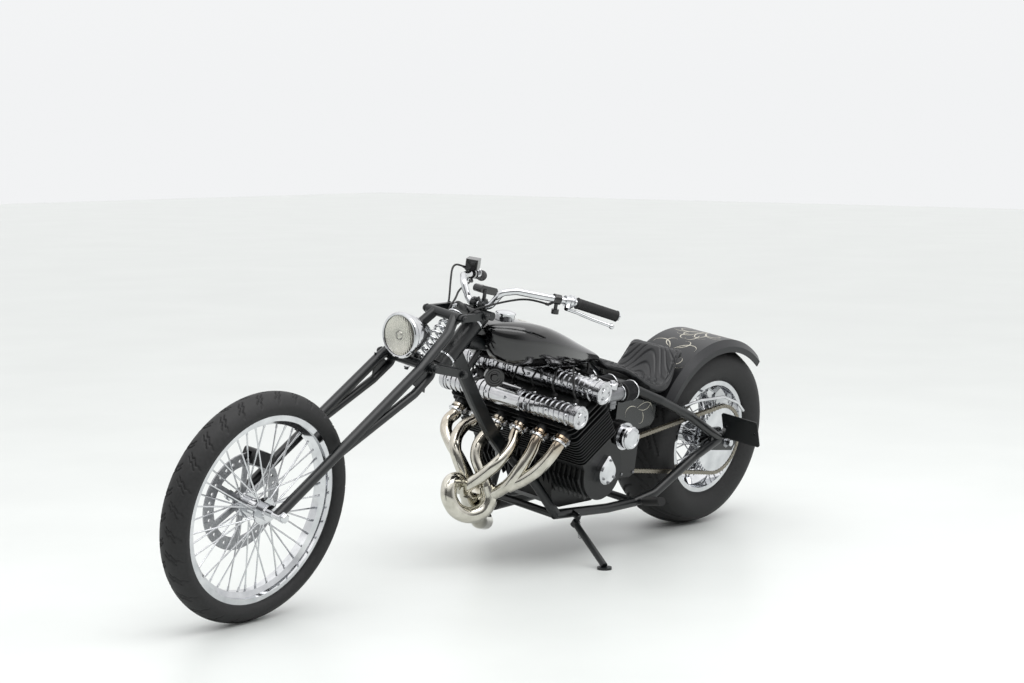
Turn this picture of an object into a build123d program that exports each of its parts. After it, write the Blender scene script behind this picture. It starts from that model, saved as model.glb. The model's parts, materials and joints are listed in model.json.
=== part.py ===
from build123d import *
import math
import os

os.makedirs("parts", exist_ok=True)

# Stance. The machine is modelled upright: X forward, Y to its left, Z up, the floor at the
# rear wheel's foot. It is then leaned onto its side stand with the steering a little to the left.
wheelbase = 2079.0
front_axle_height = 338.0
rear_axle_height = 331.0
lean_angle = 8.5
steer_angle = 3.0

# Steering head
head_place = (1277.0, 0, 758.0)
head_rake = 48.4
head_length = 145.0
head_radius = 30.0
stem_radius = 15.0

# Clearances
running_gap = 0.05
seat_gap = 0.3
moving_gap = 5.0
cut_overrun = 20.0

# Front wheel, 21 inch rim
front_tyre_radius = 340.5
front_tyre_half = 48.8
front_flange_radius = 279.0
front_flange_half = 31.0
front_seat_radius = 266.0
front_well_radius = 251.0

# Rear wheel, 15 inch rim
rear_tyre_radius = 332.5
rear_tyre_half = 118.0
rear_flange_radius = 203.0
rear_flange_half = 92.7
rear_seat_radius = 190.0
rear_well_radius = 171.0

# Rim and spoke stock
rim_wall = 3.2
spoke_radius = 2.4
spoke_count = 40
spoke_cross_angle = 18.0
spoke_stagger = 4.0

# Hubs, axles and brake discs
front_axle_radius = 10.0
front_hub_radius = 24.0
front_hub_flange_radius = 40.0
front_hub_flange_place = 32.0
front_hub_half = 58.0
rear_axle_radius = 12.5
rear_hub_radius = 42.0
rear_hub_flange_radius = 62.0
rear_hub_flange_place = 78.0
rear_hub_half = 122.0
hub_flange_thickness = 7.0
disc_radius = 145.0
disc_track = 38.0
disc_thickness = 5.0
disc_carrier_arms = 6
disc_hole_radius = 5.0
disc_hole_count = 30

# Final drive: 530 pitch chain
chain_pitch = 15.875
chain_line = 132.0
roller_radius = 5.08
rear_teeth = 48
front_teeth = 18
drive_centre_distance = 574.0
drive_drop_angle = -0.5
sprocket_thickness = 8.0
chain_plate_thickness = 1.8
chain_plate_height = 14.5
chain_side_gap = 0.8
chain_waist_share = 0.7

# Engine, an inclined row of six cylinders across the frame
crank_place = (785.0, 0, 340.0)
cylinder_tilt = 33.0
cylinder_count = 6
cylinder_spacing = 88.0
engine_half_width = 262.0
crankcase_radius = 96.0
barrel_base = 98.0
barrel_top = 196.0
barrel_half_depth = 74.0
fin_reach = 20.0
fin_count = 9
fin_thickness = 3.2
head_top = 268.0
cam_height = 293.0
cam_spread = 63.0
cam_cover_radius = 33.0
cam_half_width = 286.0
carburettor_radius = 24.0
carburettor_length = 90.0
filter_radius = 33.0
filter_length = 58.0

# Frame stock
main_tube_radius = 22.0
beam_width = 46.0
beam_thickness = 24.0
stay_radius = 16.0
rail_half_width = 135.0
stay_half_width = 165.0
axle_plate_thickness = 12.0

# Girder fork
fork_tube_radius = 15.5
fork_half_width = 85.0
link_radius = 9.0
link_half_width = 110.0
upper_link_half_width = 74.0

# Handlebar
bar_radius = 11.1
bar_half_span = 285.0
grip_radius = 16.5
grip_share = 0.86

# Bodywork
tank_length = 590.0
tank_half_width = 140.0
tank_top_height = 818.0
seat_half_width = 140.0
seat_height = 640.0
fender_radius = 356.0
fender_half_width = 129.0
fender_thickness = 4.0
fender_side_depth = 42.0
oil_tank_half_width = 118.0

# Side stand
stand_pivot = (797.0, 162.0, 145.0)
stand_foot = (843.0, 340.0)
stand_radius = 11.0
stand_foot_radius = 24.0
stand_pin_radius = 6.0
stand_eye_radius = 13.0
stand_eye_half = 10.0
stand_lug_reach = 26.0
stand_tilt = 29.2

# Directions that many pieces share
rake = math.radians(head_rake)
head_axis = Vector(-math.sin(rake), 0, math.cos(rake))
head_middle = Vector(*head_place)
head_low = head_middle - head_axis * (head_length / 2)
head_high = head_middle + head_axis * (head_length / 2)
front_axle = Vector(wheelbase, 0, front_axle_height)
rear_axle = Vector(0, 0, rear_axle_height)
tilt = math.radians(cylinder_tilt)
cylinder_axis = Vector(math.sin(tilt), 0, math.cos(tilt))
engine_plane = Plane(
    origin=crank_place, x_dir=(math.cos(tilt), 0, -math.sin(tilt)), z_dir=cylinder_axis
)


stand_hinge_point = Vector(*stand_pivot)
stand_axis = Vector(0, math.sin(math.radians(stand_tilt)), math.cos(math.radians(stand_tilt)))


def places(shares, length, width, height):
    """Points from a table of shares of three sizes"""
    return [Vector(x * length, y * width, z * height) for x, y, z in shares]


def other_side(points):
    """The same points on the right of the machine"""
    return [Vector(p.X, -p.Y, p.Z) for p in points]


def rod(start, end, radius, mode=Mode.ADD):
    """A round bar from one point to another, in the part being built"""
    along = Vector(*end) - Vector(*start)
    with Locations(Plane(origin=start, z_dir=along).location):
        foot = (Align.CENTER, Align.CENTER, Align.MIN)
        Cylinder(radius, along.length, align=foot, mode=mode)


def bent_bar(points, radius, bend):
    """A round bar along straight runs with rounded corners"""
    with BuildLine() as route:
        FilletPolyline(*points, radius=bend)
    with BuildSketch(Plane(origin=route.line @ 0, z_dir=route.line % 0)) as section:
        Circle(radius)
    sweep(sections=section.sketch, path=route.line)


def bent_beam(points, thickness, depth, bend):
    """A flat bar in the machine's middle plane, with rounded corners"""
    with BuildLine() as route:
        FilletPolyline(*points, radius=bend)
    with BuildSketch(Plane(origin=route.line @ 0, x_dir=(0, 1, 0), z_dir=route.line % 0)) as section:
        RectangleRounded(thickness, depth, thickness / 4)
    sweep(sections=section.sketch, path=route.line)


def cable(points, radius):
    """A cable through a list of points, each corner as round as its runs allow"""
    runs = [(b - a).length for a, b in zip(points, points[1:])]
    radii = []
    for before, corner, after, first, second in zip(points, points[1:], points[2:], runs, runs[1:]):
        turn = math.radians((corner - before).get_angle(after - corner))
        radii.append(0.45 * min(first, second) / math.tan(turn / 2))
    bent_bar(points, radius, radii)
    return radii


def socket(root, start, onward, radius):
    """A fitting from a root point that ends just short of a cable's or rod's start"""
    line = (onward - start).normalized()
    rod(root, start - line * (2 * radius), radius)
    rod(start - line * (2.5 * radius), start - line * seat_gap, radius)


def side_sketch(y):
    """A plane that faces the machine's left at a distance y, X forward and Z up"""
    return Plane(origin=(0, y, 0), x_dir=(-1, 0, 0), z_dir=(0, 1, 0))


def crown_drop(height, half_width):
    """Radius of the arc that rises by a height over a half width"""
    return (height**2 + half_width**2) / (2 * height)


# Parking: the steered, leaned pose and the small pitch that puts both tyres on the floor
shoulder_width_share = 0.86
shoulder_drop_share = 0.45
front_drop = front_tyre_half * shoulder_drop_share
rear_drop = rear_tyre_half * 0.27
front_crown = crown_drop(front_drop, front_tyre_half * shoulder_width_share)
rear_crown = crown_drop(rear_drop, rear_tyre_half * shoulder_width_share)
head_plane = Plane(origin=head_place, z_dir=head_axis)
steered = head_plane.location * Location((0, 0, 0), (0, 0, steer_angle)) * head_plane.location.inverse()


def tread_height(axle, spin_axis, radius, crown):
    """How high a tyre's lowest point lies, for an axle and an axis of spin in space"""
    flat = math.sqrt(1 - spin_axis.Z**2)
    return axle.Z - ((radius - crown) * flat + crown)


def moved(place, point):
    """A point carried along by a placement"""
    return (place * Location(tuple(Vector(*point)))).position


leaned = Location((0, 0, 0), (-lean_angle, 0, 0))


def wheel_feet(place):
    """Heights of the rear and the front tyre's lowest points"""
    feet = []
    for axle, turn, radius, crown in (
        (rear_axle, Location(), rear_tyre_radius, rear_crown),
        (front_axle, steered, front_tyre_radius, front_crown),
    ):
        seat = place * turn
        centre = moved(seat, axle)
        side = moved(seat, axle + Vector(0, 1, 0)) - centre
        feet.append(tread_height(centre, side, radius, crown))
    return feet


rear_foot, front_foot = wheel_feet(leaned)
pitch_angle = math.degrees(math.atan((front_foot - rear_foot) / wheelbase))
pitched = Location((0, 0, 0), (0, pitch_angle, 0)) * leaned
rear_foot, front_foot = wheel_feet(pitched)
parked = Location((0, 0, -rear_foot)) * pitched
finished = {}


def keep(builder, name, place):
    """Names a finished piece and puts it where the parked machine carries it"""
    piece = place * builder.part
    piece.label = name
    finished[name] = piece


on_frame = parked
on_steering = parked * steered
front_wheel_place = on_steering * Location(tuple(front_axle))
rear_wheel_place = on_frame * Location(tuple(rear_axle))


# Wheels. Each is modelled about its own centre, with the spin axis along Y.
# columns: name, place, tyre radius, tyre half width, shoulder drop, flange radius, flange half
# width, bead seat radius, well radius
wheel_table = (
    ("front", front_wheel_place, front_tyre_radius, front_tyre_half, front_drop,
     front_flange_radius, front_flange_half, front_seat_radius, front_well_radius),
    ("rear", rear_wheel_place, rear_tyre_radius, rear_tyre_half, rear_drop,
     rear_flange_radius, rear_flange_half, rear_seat_radius, rear_well_radius),
)
widest_share = 0.42
well_half_share = 0.3
well_slope_share = 0.22
for (name, place, radius, half, drop, flange, flange_half, bead_seat, well) in wheel_table:
    shoulder = half * shoulder_width_share
    shoulder_radius = radius - drop
    widest_radius = flange + (radius - flange) * widest_share
    bead_half = flange_half - rim_wall - seat_gap
    bead_top = flange + seat_gap
    bead_base = bead_seat + seat_gap
    with BuildPart() as tyre:
        with BuildSketch(Plane.XY):
            with BuildLine():
                ThreePointArc((shoulder_radius, -shoulder), (radius, 0), (shoulder_radius, shoulder))
                ThreePointArc(
                    (shoulder_radius, shoulder), (widest_radius, half), (bead_top, flange_half)
                )
                Polyline(
                    (bead_top, flange_half), (bead_top, bead_half), (bead_base, bead_half),
                    (bead_base, -bead_half), (bead_top, -bead_half), (bead_top, -flange_half),
                )
                ThreePointArc(
                    (bead_top, -flange_half), (widest_radius, -half), (shoulder_radius, -shoulder)
                )
            make_face()
        revolve(axis=Axis.Y)
    keep(tyre, f"{name}_tyre", place)

    well_half = flange_half * well_half_share
    slope_end = well_half + flange_half * well_slope_share
    inside = flange_half - rim_wall
    with BuildPart() as rim:
        with BuildSketch(Plane.XY):
            with BuildLine():
                Polyline(
                    (flange, flange_half), (flange, inside), (bead_seat, inside),
                    (bead_seat, slope_end), (well, well_half), (well, -well_half),
                    (bead_seat, -slope_end), (bead_seat, -inside), (flange, -inside),
                    (flange, -flange_half), (bead_seat - rim_wall, -flange_half),
                    (bead_seat - rim_wall, -slope_end), (well - rim_wall, -well_half),
                    (well - rim_wall, well_half), (bead_seat - rim_wall, slope_end),
                    (bead_seat - rim_wall, flange_half), close=True,
                )
            make_face()
        revolve(axis=Axis.Y)
    keep(rim, f"{name}_rim", place)

# Hubs laced to the rims: half of the spokes lead and half trail, and they pass side by side
# columns: name, place, hub radius, half length, flange radius, flange place, axle radius, well
hub_table = (
    ("front", front_wheel_place, front_hub_radius, front_hub_half, front_hub_flange_radius,
     front_hub_flange_place, front_axle_radius, front_well_radius),
    ("rear", rear_wheel_place, rear_hub_radius, rear_hub_half, rear_hub_flange_radius,
     rear_hub_flange_place, rear_axle_radius, rear_well_radius),
)
spoke_hole_inset = 5.0
nipple_radius = 3.4
nipple_length = 16.0
for name, place, barrel, half, flange, flange_place, axle_radius, well in hub_table:
    with BuildPart() as hub:
        with Locations(Rotation(90, 0, 0)):
            Cylinder(barrel, 2 * half)
        for side in (-1, 1):
            with Locations(Location((0, side * flange_place, 0), (90, 0, 0))):
                Cylinder(flange, hub_flange_thickness)
        rim_inside = well - rim_wall - seat_gap
        for number in range(spoke_count):
            side = 1 if number % 2 else -1
            way = 1 if number % 4 < 2 else -1
            angle = math.radians(number * 360 / spoke_count)
            rim_angle = angle + math.radians(spoke_cross_angle) * way
            foot = flange - spoke_hole_inset
            aside = way * side * spoke_stagger
            root_side = side * flange_place + aside / 2
            root = Vector(foot * math.cos(angle), root_side, foot * math.sin(angle))
            tip = Vector(well * math.cos(rim_angle), aside, well * math.sin(rim_angle))
            rod(root, tip, spoke_radius)
            rod(tip - (tip - root).normalized() * nipple_length, tip, nipple_radius)
        with BuildSketch(Plane.XZ):
            Circle(well + rim_wall)
            Circle(rim_inside, mode=Mode.SUBTRACT)
        extrude(amount=flange_place, both=True, mode=Mode.SUBTRACT)
        with Locations(Rotation(90, 0, 0)):
            Cylinder(axle_radius + running_gap, 3 * half, mode=Mode.SUBTRACT)
    keep(hub, f"{name}_hub_and_spokes", place)

# Brake discs: a drilled ring on a carrier of arms, on the right of each wheel
for name, place, hub_end, barrel, bore in (
    ("front", front_wheel_place, front_hub_half, front_hub_radius, front_axle_radius),
    ("rear", rear_wheel_place, rear_hub_half, rear_hub_radius, rear_axle_radius),
):
    carrier_radius = barrel * 1.4
    with BuildPart() as disc:
        face = Plane(origin=(0, -hub_end, 0), z_dir=(0, -1, 0))
        with BuildSketch(face):
            Circle(disc_radius)
            Circle(disc_radius - disc_track, mode=Mode.SUBTRACT)
            with PolarLocations(disc_radius - disc_track / 2, disc_hole_count):
                Circle(disc_hole_radius, mode=Mode.SUBTRACT)
            Circle(carrier_radius)
            with PolarLocations((carrier_radius + disc_radius - disc_track) / 2, disc_carrier_arms):
                Rectangle(disc_radius - disc_track - carrier_radius + disc_track / 2, disc_track / 2)
            Circle(bore * 1.3, mode=Mode.SUBTRACT)
        extrude(amount=disc_thickness)
    keep(disc, f"{name}_brake_disc", place)

# Rear sprocket: a solid polished disc with the teeth cut between the chain's rollers
rear_pitch_radius = chain_pitch / (2 * math.sin(math.pi / rear_teeth))
front_pitch_radius = chain_pitch / (2 * math.sin(math.pi / front_teeth))
tooth_tip_share = 0.8
with BuildPart() as rear_sprocket:
    with BuildSketch(Plane(origin=(0, chain_line + sprocket_thickness / 2, 0), z_dir=(0, -1, 0))):
        Circle(rear_pitch_radius + roller_radius * tooth_tip_share)
        with PolarLocations(rear_pitch_radius, rear_teeth):
            Circle(roller_radius + seat_gap, mode=Mode.SUBTRACT)
        Circle(rear_axle_radius * 2, mode=Mode.SUBTRACT)
    extrude(amount=sprocket_thickness)
    hub_gap = chain_line - sprocket_thickness / 2 - rear_hub_half
    with Locations(Location((0, rear_hub_half + hub_gap / 2, 0), (90, 0, 0))):
        Cylinder(rear_hub_radius, hub_gap)
        Cylinder(rear_axle_radius * 2, 2 * hub_gap, mode=Mode.SUBTRACT)
keep(rear_sprocket, "rear_sprocket", rear_wheel_place)

# Drive chain: two rows of link plates round both sprockets
drop = math.radians(drive_drop_angle)
drive_front = rear_axle + Vector(
    drive_centre_distance * math.cos(drop), 0, -drive_centre_distance * math.sin(drop)
)
lean_in = math.asin((rear_pitch_radius - front_pitch_radius) / drive_centre_distance)


chain_run = math.sqrt(drive_centre_distance**2 - (rear_pitch_radius - front_pitch_radius) ** 2)
rear_wrap = rear_pitch_radius * (math.pi + 2 * lean_in)
front_wrap = front_pitch_radius * (math.pi - 2 * lean_in)
chain_length = 2 * chain_run + rear_wrap + front_wrap
link_count = round(chain_length / chain_pitch)


def chain_place(distance, offset):
    """A point at a distance along the loop from the rear sprocket's top, outward by an offset"""
    start = math.pi / 2 - lean_in - drop
    front_start = distance - chain_run
    low_start = front_start - front_wrap
    rear_start = low_start - chain_run
    if front_start < 0:
        centre, reach, angle, along = rear_axle, rear_pitch_radius, start, distance
    elif low_start < 0:
        centre, reach, along = drive_front, front_pitch_radius, 0
        angle = start - front_start / front_pitch_radius
    elif rear_start < 0:
        centre, reach, along = drive_front, front_pitch_radius, low_start
        angle = start - front_wrap / front_pitch_radius
    else:
        centre, reach, along = rear_axle, rear_pitch_radius, 0
        angle = start - front_wrap / front_pitch_radius - rear_start / rear_pitch_radius
    out = Vector(math.cos(angle), math.sin(angle))
    onward = Vector(out.Y, -out.X)
    return Vector(centre.X, centre.Z) + out * (reach + offset) + onward * along


def chain_outline(sign):
    """The waisted edge of the link plates, outside or inside the pitch line"""
    edge = []
    for number in range(2 * link_count):
        height = chain_plate_height if number % 2 == 0 else chain_plate_height * chain_waist_share
        edge.append(chain_place(number * chain_length / (2 * link_count), sign * height / 2))
    return edge


chain_plate_place = sprocket_thickness / 2 + chain_side_gap
with BuildPart() as drive_chain:
    for side in (-1, 1):
        near = chain_line + side * (chain_plate_place + chain_plate_thickness / 2)
        with BuildSketch(Plane(origin=(0, near + chain_plate_thickness / 2, 0), x_dir=(1, 0, 0), z_dir=(0, -1, 0))):
            with BuildLine():
                Polyline(*chain_outline(1), close=True)
            make_face()
            with BuildLine():
                Polyline(*chain_outline(-1), close=True)
            make_face(mode=Mode.SUBTRACT)
        extrude(amount=chain_plate_thickness)
    # Rollers on the free runs, clear of the turning sprocket's teeth
    free_rollers = []
    for number in range(link_count):
        distance = number * chain_length / link_count
        centre = chain_place(distance, 0)
        from_rear = (centre - Vector(rear_axle.X, rear_axle.Z)).length
        if from_rear > rear_pitch_radius + 3 * roller_radius:
            free_rollers.append(centre)
    with BuildSketch(Plane(origin=(0, chain_line + chain_plate_place + chain_plate_thickness / 2, 0), x_dir=(1, 0, 0), z_dir=(0, -1, 0))):
        with Locations(*free_rollers):
            RegularPolygon(roller_radius, 6)
    extrude(amount=2 * chain_plate_place + chain_plate_thickness)
keep(drive_chain, "drive_chain", on_frame)

# Axles. The rear one steps down outside its plates to a bare stub at each end.
front_axle_reach = 8.0
axle_end_radius = 11.0
axle_end_length = 20.0
axle_shoulder = 1.0
front_axle_half = fork_half_width + fork_tube_radius + front_axle_reach
rear_axle_half = stay_half_width + axle_plate_thickness / 2 + axle_shoulder
for name, place, radius, half in (
    ("front_axle", front_wheel_place, front_axle_radius, front_axle_half),
    ("rear_axle", rear_wheel_place, rear_axle_radius, rear_axle_half),
):
    with BuildPart() as axle:
        with Locations(Rotation(90, 0, 0)):
            Cylinder(radius, 2 * half)
            if name == "rear_axle":
                Cylinder(axle_end_radius, 2 * (half + axle_end_length))
    keep(axle, name, place)

tunnel_half = main_tube_radius + moving_gap

# Route of the chain guard's rod
# columns: shares of the wheelbase, the stay half width and the head height
guard_shares = (
    (0.12, 0.885, 0.632),
    (0.077, 0.891, 0.649),
    (0.009, 0.903, 0.648),
    (-0.034, 0.903, 0.609),
    (-0.054, 0.903, 0.565),
)
guard_radius = 5.0
guard_bend = 50.0
guard = places(guard_shares, wheelbase, stay_half_width, head_place[2])

# Frame: head tube, backbone, flat downtubes, bottom rails, stays and axle plates
# The tables hold shares of the wheelbase, the rail half width and the head height.
head_height = head_place[2]
backbone_shares = (
    (0.601, 0, 0.992),
    (0.529, 0, 0.966),
    (0.361, 0, 0.881),
    (0.313, 0, 0.834),
    (0.269, 0, 0.755),
)
downtube_shares = (
    (0.62, 0, 0.945),
    (0.565, 0, 0.736),
    (0.522, 0, 0.595),
    (0.484, 0, 0.493),
)
branch_shares = (
    (0.491, 0.044, 0.512),
    (0.474, 0.222, 0.455),
    (0.45, 0.622, 0.372),
    (0.43, 0.963, 0.27),
    (0.419, 1, 0.24),
)
rail_shares = (
    (0.423, 1, 0.237),
    (0.289, 1, 0.214),
    (0.216, 1, 0.216),
)
lower_stay_shares = (
    (0.221, 1, 0.215),
    (0.183, 1.185, 0.251),
    (0.087, 1.222, 0.391),
    (0.022, 1.222, 0.455),
)
upper_stay_shares = (
    (0.269, 0, 0.76),
    (0.267, 0.711, 0.763),
    (0.192, 1.111, 0.682),
    (0.115, 1.215, 0.594),
    (0.022, 1.222, 0.462),
)
axle_plate_shares = (
    (0.046, 0.491),
    (0.046, 0.412),
    (-0.019, 0.391),
    (-0.03, 0.437),
    (-0.019, 0.483),
)
beam_fillet = 90.0
brace_shares = ((0.596, 0, 0.855), (0.563, 0, 0.97))
brace_radius = 9.0
boss_radius = 7.0
tank_post_radius = 10.0
tank_post_shares = (0.25, 0.8)
seat_post_shares = ((0.264, 0.799))
fender_boss_shares = ((0.139, 0.964, 0.624))
oil_boss_shares = ((0.202, 0.867, 0.689))
horn_place = (1158.0, 52.0, 645.0)
horn_radius = 30.0
horn_half = 11.0
horn_turn = 53.0
horn_bracket_radius = 5.0
horn_bracket_reach = 14.0
horn_root_shares = ((0.588, 0.823))
peg_shares = ((0.217, 1.333, 0.235), (0.238, 2.059, 0.276))
peg_radius = 15.0
with BuildPart() as main_frame:
    rod(head_low, head_high, head_radius)
    downtube = places(downtube_shares, wheelbase, rail_half_width, head_height)
    bent_beam(downtube, beam_thickness, beam_width, beam_fillet)
    brace = places(brace_shares, wheelbase, rail_half_width, head_height)
    rod(brace[0], brace[1], brace_radius)
    bent_bar(places(backbone_shares, wheelbase, rail_half_width, head_height), main_tube_radius, beam_fillet)
    side_pieces = (
        (branch_shares, stay_radius, beam_fillet / 2),
        (rail_shares, stay_radius, beam_fillet / 2),
        (lower_stay_shares, stay_radius, beam_fillet),
        (upper_stay_shares, stay_radius, beam_fillet / 2),
    )
    for shares, radius, bend in side_pieces:
        bent_bar(places(shares, wheelbase, rail_half_width, head_height), radius, bend)
    with BuildSketch(Plane(origin=(0, stay_half_width + axle_plate_thickness / 2, 0), x_dir=(1, 0, 0), z_dir=(0, -1, 0))):
        with BuildLine():
            Polyline(*[(x * wheelbase, z * head_height) for x, z in axle_plate_shares], close=True)
        make_face()
    extrude(amount=axle_plate_thickness)
    mirror(about=Plane.XZ)
    for cross in (rail_shares[0], rail_shares[-1]):
        x, _, z = cross
        reach = rail_half_width
        rod((x * wheelbase, -reach, z * head_height), (x * wheelbase, reach, z * head_height), stay_radius * 0.8)
    rod(head_low - head_axis * head_length, head_high + head_axis * head_length, stem_radius + running_gap, mode=Mode.SUBTRACT)
    with Locations(Location(tuple(rear_axle), (90, 0, 0))):
        Cylinder(rear_axle_radius + running_gap, 3 * stay_half_width, mode=Mode.SUBTRACT)
    # Rubber posts that carry the tank, square to the backbone
    spine = places(backbone_shares, wheelbase, rail_half_width, head_height)[1:3]
    spine_line = (spine[1] - spine[0]).normalized()
    spine_up = Vector(spine_line.Z, 0, -spine_line.X)
    post = spine_up * (tunnel_half * abs(spine_line.X) - seat_gap)
    for share in tank_post_shares:
        foot_place = spine[0] + (spine[1] - spine[0]) * share
        rod(foot_place, foot_place + post, tank_post_radius)
    x, z = seat_post_shares
    rod((x * wheelbase, 0, z * head_height - main_tube_radius * 2), (x * wheelbase, 0, z * head_height), boss_radius)
    # Bosses that reach in from the upper stays to the fender and the oil tank
    for (x, y, z), inner in ((fender_boss_shares, fender_half_width), (oil_boss_shares, oil_tank_half_width)):
        for side in (-1, 1):
            stay = Vector(x * wheelbase, side * y * stay_half_width, z * head_height)
            rod(stay, (stay.X, side * (inner + seat_gap), stay.Z), boss_radius)
    # Fitting for the chain guard
    socket(Vector(guard[0].X + stay_radius, stay_half_width, guard[0].Z - stay_radius), guard[0], guard[1], guard_radius * 1.2)
    # Bracket for the horn
    horn_line = Vector(math.cos(math.radians(horn_turn)), math.sin(math.radians(horn_turn)), 0)
    horn_back = Vector(*horn_place) - horn_line * (horn_half + seat_gap)
    x, z = horn_root_shares
    rod(horn_back, horn_back - horn_line * horn_bracket_reach, horn_bracket_radius)
    rod(horn_back - horn_line * horn_bracket_reach, (x * wheelbase, 0, z * head_height), horn_bracket_radius)
    # Bosses for the foot pegs
    for side in (-1, 1):
        root, tip = places(peg_shares, wheelbase, rail_half_width * side, head_height)
        rail_end = (rail_shares[-1][0] * wheelbase, rail_half_width * side, rail_shares[-1][2] * head_height)
        peg_line = (tip - root).normalized()
        rod(rail_end, root - peg_line * peg_radius, peg_radius * 0.7)
        rod(root - peg_line * (peg_radius * 1.4), root - peg_line * seat_gap, peg_radius * 0.7)
    # Lug and pin for the side stand on the left rail
    rail_point = (stand_pivot[0], rail_half_width, rail_shares[0][2] * head_height)
    rod(rail_point, stand_hinge_point + stand_axis * stand_lug_reach, stand_radius * 0.9)
    rod(
        stand_hinge_point + stand_axis * stand_lug_reach,
        stand_hinge_point - stand_axis * stand_eye_half * 1.3,
        stand_pin_radius,
    )
keep(main_frame, "main_frame", on_frame)

# Engine. The crankcase is modelled in the upright frame, the rest along the tilted cylinders.
# columns: along from the crank, up from the crank, as shares of the crankcase radius
gearbox_shares = (
    (0.2, 0.9), (-1.3, 0.95), (-2.6, 0.62), (-2.8, -0.1), (-2.5, -1.0), (-1.4, -1.3), (0.3, -0.95),
)
sump_shares = ((0.85, -0.5), (0.7, -1.35), (0.3, -1.62), (-1.5, -1.62), (-1.9, -1.0), (0, -0.2))
gearbox_half_width = 118.0
crank_half_width = 238.0
alternator_place = (637.0, 430.0)
alternator_radius = 46.0
alternator_reach = 225.0
sump_half_width = 96.0
with BuildPart() as crankcase:
    for shares, half in ((gearbox_shares, gearbox_half_width), (sump_shares, sump_half_width)):
        with BuildSketch(Plane(origin=(crank_place[0], half, crank_place[2]), x_dir=(1, 0, 0), z_dir=(0, -1, 0))):
            with BuildLine():
                Polyline(*[(x * crankcase_radius, z * crankcase_radius) for x, z in shares], close=True)
            make_face()
        extrude(amount=2 * half)
    with Locations(Location(crank_place, (90, 0, 0))):
        Cylinder(crankcase_radius, 2 * crank_half_width)
    with BuildSketch(engine_plane):
        Rectangle(2 * barrel_half_depth, 2 * crank_half_width)
    extrude(amount=barrel_base)
    with Locations(Location((alternator_place[0], 0, alternator_place[1]), (90, 0, 0))):
        Cylinder(alternator_radius, 2 * gearbox_half_width)
keep(crankcase, "crankcase", on_frame)

fin_half_depth = barrel_half_depth + fin_reach
barrel_half_width = engine_half_width - fin_reach
with BuildPart() as cylinder_block:
    with BuildSketch(engine_plane.offset(barrel_base)):
        Rectangle(2 * barrel_half_depth, 2 * barrel_half_width)
    extrude(amount=barrel_top - barrel_base)
    fin_pitch = (barrel_top - barrel_base) / fin_count
    for number in range(fin_count):
        with BuildSketch(engine_plane.offset(barrel_base + number * fin_pitch + fin_pitch / 2)):
            RectangleRounded(2 * fin_half_depth, 2 * engine_half_width, fin_reach)
        extrude(amount=fin_thickness)
keep(cylinder_block, "cylinder_block", on_frame)

head_fin_count = 4
head_fin_share = 0.2
port_height = 227.0
port_reach = 8.0
port_ends = []
cam_bed_clearance = 3.4
pipe_radius = 20.0
intake_height = 232.0
intake_port = moved(engine_plane.location, (-fin_half_depth, 0, intake_height))
intake_direction = Vector(-1, 0, 0.05).normalized()
intake_stub = 22.0
cylinder_places = [(n - (cylinder_count - 1) / 2) * cylinder_spacing for n in range(cylinder_count)]
with BuildPart() as cylinder_head:
    with BuildSketch(engine_plane.offset(barrel_top)):
        Rectangle(2 * barrel_half_depth, 2 * barrel_half_width)
    extrude(amount=head_top - barrel_top)
    fin_pitch = (head_top - barrel_top) / head_fin_count
    for number in range(head_fin_count):
        with BuildSketch(engine_plane.offset(barrel_top + (number + head_fin_share) * fin_pitch)):
            RectangleRounded(2 * fin_half_depth, 2 * engine_half_width, fin_reach)
        extrude(amount=fin_thickness)
    for side in (-1, 1):
        with Locations(engine_plane.location * Location((side * cam_spread, 0, cam_height), (90, 0, 0))):
            Cylinder(cam_cover_radius + cam_bed_clearance, 3 * cam_half_width, mode=Mode.SUBTRACT)
    for y in cylinder_places:
        root = intake_port + Vector(0, y, 0)
        rod(root - intake_direction * intake_stub, root + intake_direction * intake_stub, carburettor_radius * 0.8)
        port = moved(engine_plane.location, (fin_half_depth - pipe_radius, y, port_height))
        port_ends.append(moved(engine_plane.location, (fin_half_depth + port_reach, y, port_height - port_reach)))
        rod(port, port_ends[-1], pipe_radius * 1.15)
port_line = (port_ends[-1] - port).normalized()
keep(cylinder_head, "cylinder_head", on_frame)

# Cam covers: a plain middle, ribbed outer stretches and a round cap on each end
cam_rib_first = 74.0
cam_rib_pitch = 21.0
cam_rib_count = 10
cam_rib_thickness = 6.0
cam_rib_reach = 3.0
cam_cap_radius = 37.0
cam_cap_length = 16.0
cam_middle_half = 56.0
for name, side in (("exhaust_cam_cover", 1), ("intake_cam_cover", -1)):
    with BuildPart() as cam_cover:
        across = engine_plane.location * Location((side * cam_spread, 0, cam_height), (90, 0, 0))
        with Locations(across):
            Cylinder(cam_cover_radius, 2 * cam_half_width)
            Cylinder(cam_cover_radius + cam_rib_reach, 2 * cam_middle_half)
        for number in range(cam_rib_count):
            for out in (-1, 1):
                y = out * (cam_rib_first + number * cam_rib_pitch)
                with Locations(across * Location((0, 0, y))):
                    Cylinder(cam_cover_radius + cam_rib_reach, cam_rib_thickness)
        for out in (-1, 1):
            with Locations(across * Location((0, 0, out * (cam_half_width - cam_cap_length / 2)))):
                Cylinder(cam_cap_radius, cam_cap_length)
    keep(cam_cover, name, on_frame)

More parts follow.
